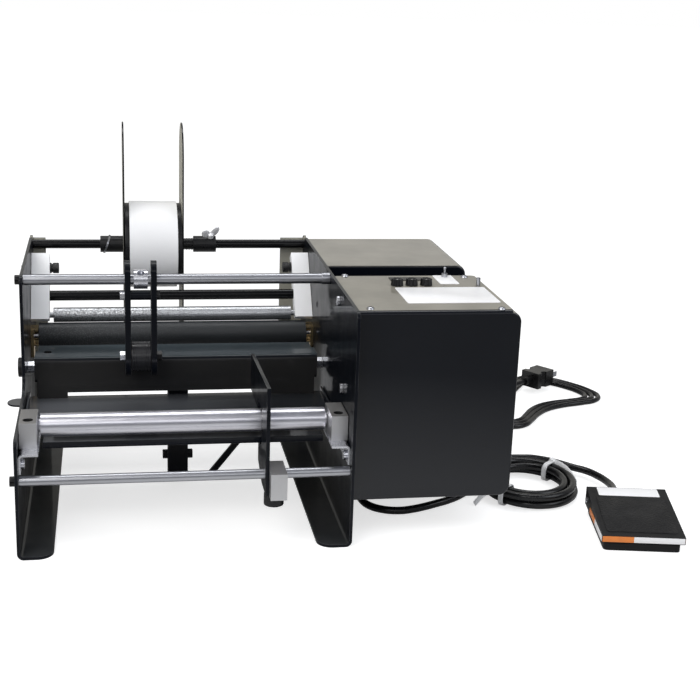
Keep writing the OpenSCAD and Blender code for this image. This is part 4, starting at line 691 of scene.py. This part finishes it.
# The lip's edges are painted lighter: part wear and part a painted highlight.
box_fold_paint = gloss_black("box_fold_paint", 0.0, (0.02, 0.021, 0.024), 1.0)
bm = bmesh.new()
block(bm, lip_low, lip_high)
front_top = [e for e in bm.edges
             if all(v.co.y < lip_low.y + near and v.co.z > lip_high.z - near for v in e.verts)]
ease(bm, front_top, lip_round, 6)
smooth_piece("box_front_fold", bm, box_fold_paint, "frame")
button_head = ((0, 0.0008), (0.0012, 0.0008), (0.0012, 0.0020), (0.0023, 0.0017), (0.0032, 0.0009),
               (0.0035, 0.0), (0, 0.0))
head_places = ((0.160, -0.033), (0.161, -0.160), (0.280, -0.165), (0.278, -0.040))
heads = [(turned(button_head), Matrix.Translation((x, y, panel_top))) for x, y in head_places]
smooth_piece("panel_screws", gathered(heads), chrome, "frame")


# Legend plates: two bare white cards stuck on the lid, before the knobs and under the toggle.
# They are cut from thin white plastic, with rounded corners and eased edges.
def card(name, low, high, corner, finish, body, place=Matrix()):
    low = Vector(low)
    high = Vector(high)
    bm = bmesh.new()
    block(bm, low, high)
    ease(bm, [e for e in bm.edges if abs(e.verts[0].co.z - e.verts[1].co.z) > near], corner, 5)
    rim = [e for e in bm.edges if all(v.co.z > high.z - near for v in e.verts)]
    ease(bm, rim, (high.z - low.z) * 0.4, 2)
    bmesh.ops.transform(bm, matrix=place, verts=bm.verts)
    return smooth_piece(name, bm, finish, body)


card_thick = 0.0005
card_white = start_finish("card_white", (0.84, 0.84, 0.85), 0.0, 0.35)
uneven_gloss(card_white, 0.28, 0.45, 30)
mottle(card_white, 20, 6, 0.5, 0.85, 0.5, (0.74, 0.73, 0.72))
edge_wear(card_white, 0.0006, 0.3, (0.45, 0.44, 0.42))
legend = card("legend_plate", (0.199, -0.142, panel_top), (0.286, -0.083, panel_top + card_thick), 0.002,
              card_white, "frame")
small_legend = card("toggle_plate", (0.247, -0.069, panel_top), (0.266, -0.034, panel_top + card_thick),
                    0.0015, card_white, "frame")

# Controls: a black strip, the toggle's plated bushing and a stop post, then three fluted knobs.
# Each knob is moulded black plastic with eight finger flutes, a dished top and a white pointer.
controls = broken_edges("panel_controls", 0.0002, black_plastic)
strip_end = 0.24
plated_from = panel_top - 0.001
paint_faces(controls, chrome, lambda centre, normal: centre.x > strip_end and centre.z > plated_from)
broken_edges("toggle_lever", 0.0002, chrome)
pointer_white = start_finish("pointer_white", (0.7, 0.7, 0.68), 0.0, 0.5)
uneven_gloss(pointer_white, 0.4, 0.6, 200)
flutes = 8
flute_points = 6
flute_cut = 0.84
knob_taper = 0.9
knob_gap = 0.0002
knob_rim = 0.0008
dish_wall = 0.0005
dish_deep = 0.0008
pointer_half = 0.0005
pointer_out = 0.62
pointer_in = 0.1
pointer_foot = 0.0009
pointer_top = 0.0003
for node in ("left_knob", "middle_knob", "right_knob"):
    low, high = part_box(node)
    middle = middle_of(node)
    radius = (high[0] - low[0]) / 2
    height = high[2] - panel_top - knob_gap
    bm = bmesh.new()
    outline = bmesh.ops.create_circle(bm, cap_ends=True, segments=flutes * flute_points, radius=radius)
    for number, point in enumerate(outline["verts"]):
        if number % flute_points < 2:
            point.co *= flute_cut
    raised = bmesh.ops.extrude_face_region(bm, geom=bm.faces[:])["geom"]
    crown = [v for v in raised if isinstance(v, bmesh.types.BMVert)]
    bmesh.ops.translate(bm, verts=crown, vec=(0, 0, height))
    bmesh.ops.scale(bm, verts=crown, vec=(knob_taper, knob_taper, 1))
    bm.faces.ensure_lookup_table()
    top = [f for f in bm.faces if f.calc_center_median().z > height - near]
    bmesh.ops.inset_region(bm, faces=top, thickness=knob_rim, depth=0)
    bmesh.ops.inset_region(bm, faces=top, thickness=dish_wall, depth=-dish_deep)
    bmesh.ops.recalc_face_normals(bm, faces=bm.faces)
    bmesh.ops.translate(bm, verts=bm.verts, vec=(middle.x, middle.y, panel_top + knob_gap))
    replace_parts(smooth_piece(node + "_piece", bm, black_plastic, node), node)
    crest = panel_top + height
    mark_low = (middle.x - pointer_half, middle.y - radius * pointer_out, crest - pointer_foot)
    mark_high = (middle.x + pointer_half, middle.y - radius * pointer_in, crest - pointer_top)
    mark = card(node + "_pointer", mark_low, mark_high, 0.0002, pointer_white, node)

# Control board: a green circuit board with plain blocks for its parts, inside the control box.
# It is a glass-fibre sheet under green lacquer, held on standoffs from the right plate.
board_green = start_finish("board_green", (0.02, 0.09, 0.04), 0.0, 0.4)
uneven_gloss(board_green, 0.35, 0.55, 80)
mottle(board_green, 300, 2, 0.5, 0.6, 0.6, (0.03, 0.13, 0.06))
broken_edges("control_board", 0.0003, board_green)

# Pedal: a cast base and a hinged tread with a grained rubber pad let into its top.
# The pin, the return spring and the switch sit under the tread; the spring is wound steel wire.
cast_black = start_finish("cast_black", (0.007, 0.007, 0.0075), 0.0, 0.5)
uneven_gloss(cast_black, 0.42, 0.6, 60)
grain(cast_black, clouds(cast_black, 1500, 3), 0.0002, 0.4)
edge_wear(cast_black, 0.0008, 0.5, (0.04, 0.04, 0.042))
dial(cast_black, "Specular IOR Level", 0.3)
broken_edges("pedal_base", 0.0008, cast_black)
broken_edges("pedal_tread", 0.0012, cast_black)
broken_edges("pedal_pin", 0.0004, chrome)
spring_low, spring_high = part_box("pedal_spring")
spring_mid = middle_of("pedal_spring")
spring_wire = 0.0007
spring_r = (spring_high[0] - spring_low[0]) / 2 - spring_wire
spring_turns = 5
spring_steps = spring_turns * 24
spring_rise = spring_high[2] - spring_low[2] - 2 * spring_wire
bm = bmesh.new()
wire_end = (Matrix.Translation((spring_mid.x + spring_r, spring_mid.y, spring_low[2] + spring_wire))
            @ Matrix.Rotation(math.pi / 2, 4, "X"))
wire = bmesh.ops.create_circle(bm, cap_ends=False, segments=10, radius=spring_wire, matrix=wire_end)["verts"]
bmesh.ops.spin(bm, geom=wire + bm.edges[:], cent=spring_mid, axis=(0, 0, 1), angle=math.tau * spring_turns,
               steps=spring_steps, dvec=(0, 0, spring_rise / spring_steps), use_merge=False)
bmesh.ops.holes_fill(bm, edges=bm.edges[:], sides=12)
bmesh.ops.recalc_face_normals(bm, faces=bm.faces)
spring = smooth_piece("pedal_spring_piece", bm, steel, "frame")
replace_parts(spring, "pedal_spring")
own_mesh(spring)
broken_edges("pedal_switch", 0.0003, black_plastic)
pedal_turn = math.radians(-10.5)
pedal_place = Matrix.Translation((0.4208, -0.1775, 0)) @ Matrix.Rotation(pedal_turn, 4, "Z")
pedal_w = 0.077
pedal_len = 0.093
tread_front = 0.016
tread_back = 0.026
tread_low = 0.009
slope = math.atan2(tread_back - tread_front, pedal_len)
on_tread = pedal_place @ Matrix.Translation((0, -pedal_len / 2, tread_front)) @ Matrix.Rotation(slope, 4, "X")
pin_y = 0.0385
pin_z = 0.015
pin_profile = ((0, 0.0), (0.0026, 0.0), (0.0026, 0.0008), (0.0018, 0.0014), (0, 0.0014))
pin_x = pedal_w / 2 - 0.0001
pin_ends = [(turned(pin_profile), pedal_place @ Matrix.Translation((side * pin_x, pin_y, pin_z))
             @ Matrix.Rotation(side * math.pi / 2, 4, "Y")) for side in (-1, 1)]
smooth_piece("pedal_pin_ends", gathered(pin_ends), zinc, "frame")
pad_rubber = start_finish("pad_rubber", (0.008, 0.008, 0.0085), 0.0, 0.55)
dial(pad_rubber, "Specular IOR Level", 0.3)
grain(pad_rubber, cells(pad_rubber, 480), 0.0008, 0.7)
uneven_gloss(pad_rubber, 0.5, 0.7, 40)
mottle(pad_rubber, 35, 5, 0.45, 0.75, 0.6, (0.018, 0.018, 0.0185))
pad = card("pedal_pad", (-0.033, 0.007, -0.0004), (0.033, 0.074, 0.0006), 0.003, pad_rubber, "pedal_tread",
           on_tread)

# Pedal cards: a bare white one at the back of the tread, and a plain orange and white band round its skirt.
# They are thin film, stuck on, with rounded corners.
back_card = card("pedal_card", (-0.029, 0.0765, -0.0001), (0.030, 0.0925, 0.0004), 0.001, card_white,
                 "pedal_tread", on_tread)
band_orange = start_finish("band_orange", (0.72, 0.22, 0.045), 0.0, 0.4)
uneven_gloss(band_orange, 0.32, 0.5, 60)
mottle(band_orange, 120, 5, 0.5, 0.8, 0.5, (0.55, 0.16, 0.04))
band_low = tread_low + 0.0006
band_h = 0.0056
film = 0.0003


def skirt(x, y, turn):
    return (pedal_place @ Matrix.Translation((x, y, band_low)) @ Matrix.Rotation(turn, 4, "Z")
            @ Matrix.Rotation(math.pi / 2, 4, "X"))


front_side = skirt(0, -pedal_len / 2, 0)
left_side = skirt(-pedal_w / 2, 0, -math.pi / 2)
right_side = skirt(pedal_w / 2, 0, math.pi / 2)
half_w = pedal_w / 2 - 0.0006
half_len = pedal_len / 2 - 0.0006
for name, start, end, finish, place in (
        ("front_band_orange", -half_w, -0.009, band_orange, front_side),
        ("front_band_white", -0.009, half_w, card_white, front_side),
        ("left_band_white", 0.008, half_len, card_white, left_side),
        ("left_band_orange", -0.020, 0.008, band_orange, left_side),
        ("right_band_orange", -half_len, -0.012, band_orange, right_side),
        ("right_band_white", -0.012, 0.024, card_white, right_side)):
    band = card(name, (start, 0, -0.0001), (end, band_h, film), 0.0005, finish, "pedal_tread", place)


# Pedal cord: 7.5 mm round rubber cord out of the drive box's floor, along the bench to a coil, and on to
# the pedal. The coil lies in two layers under two ties. Its route is in millimetres.
def cord_curve(name, points, diameter, finish):
    curve = bpy.data.curves.new(name, "CURVE")
    curve.dimensions = "3D"
    curve.resolution_u = 6
    curve.bevel_depth = diameter / 2
    curve.bevel_resolution = 4
    curve.use_fill_caps = True
    run = curve.splines.new("BEZIER")
    run.bezier_points.add(len(points) - 1)
    for knot, point in zip(run.bezier_points, points):
        knot.co = point
        knot.handle_left_type = "AUTO"
        knot.handle_right_type = "AUTO"
    curve.materials.append(finish)
    piece = bpy.data.objects.new(name, curve)
    bpy.context.scene.collection.objects.link(piece)
    return piece


def from_mm(*points):
    return [Vector(p) / 1000 for p in points]


cord_rubber = start_finish("cord_rubber", (0.004, 0.004, 0.0045), 0.0, 0.26)
uneven_gloss(cord_rubber, 0.2, 0.34, 50)
grain(cord_rubber, clouds(cord_rubber, 700, 3), 0.00006, 0.3)
mottle(cord_rubber, 25, 5, 0.5, 0.8, 0.5, (0.010, 0.010, 0.010))
pedal_cord_d = 7.5
coil_at = (350, -68)
coil_r = 51
coil_stretch = 1.12
coil_from = 150
coil_step = 8.5
coil_z = 5.15
coil_lift = 8.4
coil_rings = 24
coil_turns = 4 + 65 / 360
coil_cross = 0.5
coil_back = (coil_turns - coil_cross) / 2


def coil_point(t):
    if t < coil_back:
        wind = t
    elif t > coil_back + coil_cross:
        wind = coil_turns - t
    else:
        wind = coil_back
    angle = math.radians(coil_from - 360 * t)
    radius = coil_r - coil_step * wind
    climb = min(1, max(0, (t - coil_back) / coil_cross))
    return Vector((coil_at[0] + radius * math.cos(angle),
                   coil_at[1] + coil_stretch * radius * math.sin(angle),
                   coil_z + coil_lift * climb))


def coil_heading(t):
    angle = math.radians(coil_from - 360 * t)
    return Vector((math.sin(angle), -coil_stretch * math.cos(angle), 0)).normalized()


coil_in = coil_point(0) - pedal_cord_d * coil_heading(0)
coil_out = coil_point(coil_turns) + pedal_cord_d * coil_heading(coil_turns)
coil_count = math.ceil(coil_turns * coil_rings)
lead_points = from_mm(
    (175, 78, 33), (175, 78, 32.4), (175, 77, 25), (175, 74.2, 18.2), (175, 69.7, 12.3), (175, 63.8, 7.8),
    (175, 57, 5), (175, 49.6, 4), (175, 30, 4), (175, 10, 4), (175, -10, 4), (175, -30, 4), (175, -50, 4),
    (175, -68, 4), (175, -84, 4), (179.3, -100, 4), (191, -111.7, 4), (207, -116, 4), (219, -114, 4),
    (233, -108.8, 4), (247, -102, 4), (261, -94.5, 4), (276, -84, 4.5), (290, -69, 5),
    coil_in - pedal_cord_d * coil_heading(0), coil_in)
coil_points = [coil_point(coil_turns * i / coil_count) / 1000 for i in range(coil_count + 1)]
gland_len = 12
pedal_gland = (-8, pedal_len * 1000 / 2 + gland_len, 12.7)
pedal_dir = Vector((math.sin(-pedal_turn), math.cos(-pedal_turn), 0))
pedal_entry = (pedal_place @ (Vector(pedal_gland) / 1000)) * 1000
tail_points = from_mm(
    coil_out, coil_out + pedal_cord_d * coil_heading(coil_turns), (384, -15, 12), (399, -21, 10),
    (412, -29, 8), (423, -40, 8), (430, -54, 8), (434, -69, 8), (434, -85, 9), (430, -100, 11),
    pedal_entry + pedal_cord_d * pedal_dir, pedal_entry)
pedal_route = lead_points + coil_points + tail_points
pedal_cord = cord_curve("pedal_cord", pedal_route, pedal_cord_d / 1000, cord_rubber)
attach(pedal_cord, "frame")
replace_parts(pedal_cord, "pedal_cord_lead", "pedal_cord_coil", "pedal_cord_tail")

# Power cord: 6 mm mains cord out of the drive box's back, folded into a flat hank with its plug on top.
# The hank is drawn in at its waist and lies flat on the bench. Its route is in millimetres.
power_cord_d = 6
hank_at = (430, 204)
hank_turn = math.radians(36)
hank_turns = 3
hank_half = 104
hank_waist = 42
hank_bulge = 84
hank_step = 6.8
hank_bulge_step = 6
hank_rise = 13.6
hank_climb = 0.2
hank_rings = 24
hank_z = 3.2
hank_tail = 30
plug_neck = 12
plug_len = 32
hank_frame = Matrix.Translation((*hank_at, 0)) @ Matrix.Rotation(hank_turn, 4, "Z")


def hank_local(t):
    angle = math.radians(90 - 360 * t)
    lift = min(1, max(0, (t - hank_turns + hank_climb) / hank_climb))
    bulge = (hank_bulge - hank_bulge_step * t) * math.cos(angle) ** 2
    return Vector(((hank_half - hank_step * t) * math.cos(angle),
                   math.sin(angle) * (hank_waist - hank_step * t + bulge),
                   hank_z + hank_rise * lift * lift * (3 - 2 * lift)))


hank_heading = Vector((math.cos(hank_turn), math.sin(hank_turn), 0))
hank_in = hank_frame @ hank_local(0) - power_cord_d * hank_heading
plug_at = hank_local(hank_turns) + Vector((hank_tail, 0, 0))
power_points = from_mm(
    (262, 144, 52), (262, 145, 52), (262, 153, 50.6), (262, 163, 45), (263, 174, 34), (265, 184, 22),
    (269, 192, 11), (278, 199, 5), (291, 206, 3.2), (306, 212, 3.2), (322, 217, 3.2), (339, 220, 3.2),
    (357, 222, 3.2), (376, 226, 3.2), hank_in - power_cord_d * hank_heading, hank_in)
hank_count = hank_turns * hank_rings
hank_points = [hank_frame @ hank_local(hank_turns * i / hank_count) / 1000 for i in range(hank_count + 1)]
hank_points += from_mm(hank_frame @ (plug_at - Vector((power_cord_d, 0, 0))), hank_frame @ plug_at)
power_cord = cord_curve("power_cord", power_points + hank_points, power_cord_d / 1000, cord_rubber)
plug = broken_edges("power_plug", 0.0012, cord_rubber)
blade_from = plug_at.x + plug_neck + plug_len + 0.5
to_plug = hank_frame.inverted()
paint_faces(plug, chrome, lambda centre, normal: (to_plug @ (centre * 1000)).x > blade_from)
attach(power_cord, "frame")
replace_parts(power_cord, "power_cord_lead", "power_cord_hank")


# Glands and strain reliefs: black nuts where the cords enter, each with a tapered rubber sleeve.
# The sleeves follow the cords' first bend and thin towards their free ends.
def tapered_sleeve(name, points, first, last):
    holder = cord_curve(name + "_curve", points, first * 2, cord_rubber)
    knots = holder.data.splines[0].bezier_points
    for number, knot in enumerate(knots):
        knot.radius = 1 + (last / first - 1) * number / (len(knots) - 1)
    mesh = bpy.data.meshes.new_from_object(holder.evaluated_get(bpy.context.evaluated_depsgraph_get()))
    bm = bmesh.new()
    bm.from_mesh(mesh)
    bmesh.ops.remove_doubles(bm, verts=bm.verts, dist=0.000001)
    bmesh.ops.recalc_face_normals(bm, faces=bm.faces)
    bpy.data.objects.remove(holder)
    bpy.data.meshes.remove(mesh)
    smooth_piece(name, bm, cord_rubber, "frame")


broken_edges("cord_glands", 0.0006, black_plastic)
tapered_sleeve("lead_relief", lead_points[1:5], 0.0062, 0.0042)
tapered_sleeve("power_relief", power_points[1:4] + [(power_points[3] + power_points[4]) / 2], 0.0052, 0.0034)
tapered_sleeve("pedal_relief", [tail_points[-1], tail_points[-2], (tail_points[-2] + tail_points[-3]) / 2],
               0.0052, 0.0041)

# Cord ties: white nylon straps round the coil's bundle, each pulled through a small square head.
# The free ends bow out and drop to the bench, one towards the pedal and one to the left. In millimetres.
tie_plastic = start_finish("tie_plastic", (0.88, 0.88, 0.88), 0.0, 0.3)
uneven_gloss(tie_plastic, 0.24, 0.4, 150)
mottle(tie_plastic, 60, 5, 0.5, 0.8, 0.5, (0.74, 0.75, 0.76))
tie_w = 4.8
tie_t = 1.2
tie_slack = 0.5
tie_round = 6.5
head_half = Vector((3, 3.25, 1.8))
head_round = 0.7
head_inset = tie_w + 2
strap_len = 34
strap_half_t = 0.5
strap_round = 0.25
strap_bow = 4.5
strap_drop = math.radians(30)
ties = []
for angle, strap_turn, strap_twist in ((38, -91, 65), (221, -44, -65)):
    side = Vector((math.cos(math.radians(angle)), coil_stretch * math.sin(math.radians(angle)), 0))
    first = (coil_from - angle) / 360 % 1
    crossings = [coil_point(first + turn) for turn in range(int(coil_turns - first) + 1)]
    reach = [math.dist(point.xy, coil_at) for point in crossings]
    inner = min(reach) - pedal_cord_d / 2 - tie_slack - tie_t
    outer = max(reach) + pedal_cord_d / 2 + tie_slack + tie_t
    tie_h = max(point.z for point in crossings) + pedal_cord_d / 2 + tie_slack
    place = (Matrix.Scale(0.001, 4) @ Matrix.Translation((*coil_at, 0))
             @ Matrix.Rotation(math.atan2(side.y, side.x), 4, "Z"))
    loop = bmesh.new()
    block(loop, Vector((inner, -tie_w / 2, 0)), Vector((outer, tie_w / 2, tie_h + tie_t)))
    bmesh.ops.delete(loop, geom=[f for f in loop.faces if abs(f.normal.y) > 0.9], context="FACES")
    ease(loop, [e for e in loop.edges if abs(e.verts[0].co.y - e.verts[1].co.y) > 0.1], tie_round, 6)
    bmesh.ops.solidify(loop, geom=loop.faces[:], thickness=tie_t)
    bmesh.ops.recalc_face_normals(loop, faces=loop.faces)
    ties.append((loop, place))
    head = bmesh.new()
    block(head, -head_half, head_half)
    ease(head, head.edges[:], head_round, 2)
    at_head = (place @ Matrix.Translation((outer - head_inset, 0, tie_h + tie_t))
               @ Matrix.Rotation(math.radians(strap_turn), 4, "Z") @ Matrix.Rotation(strap_drop, 4, "Y"))
    ties.append((head, at_head))
    strap = bmesh.new()
    block(strap, Vector((0, -tie_w / 2, -strap_half_t)), Vector((strap_len, tie_w / 2, strap_half_t)))
    lengthways = [e for e in strap.edges if abs(e.verts[0].co.x - e.verts[1].co.x) > 1]
    bmesh.ops.subdivide_edges(strap, edges=lengthways, cuts=10)
    ease(strap, [e for e in strap.edges if e.calc_face_angle(0) > 1], strap_round, 2)
    bmesh.ops.rotate(strap, verts=strap.verts, matrix=Matrix.Rotation(math.radians(strap_twist), 3, "X"))
    for point in strap.verts:
        point.co.z += strap_bow * math.sin(math.pi * point.co.x / strap_len)
    ties.append((strap, at_head))
straps = smooth_piece("cord_ties_piece", gathered(ties), tie_plastic, "frame")
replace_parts(straps, "cord_ties")
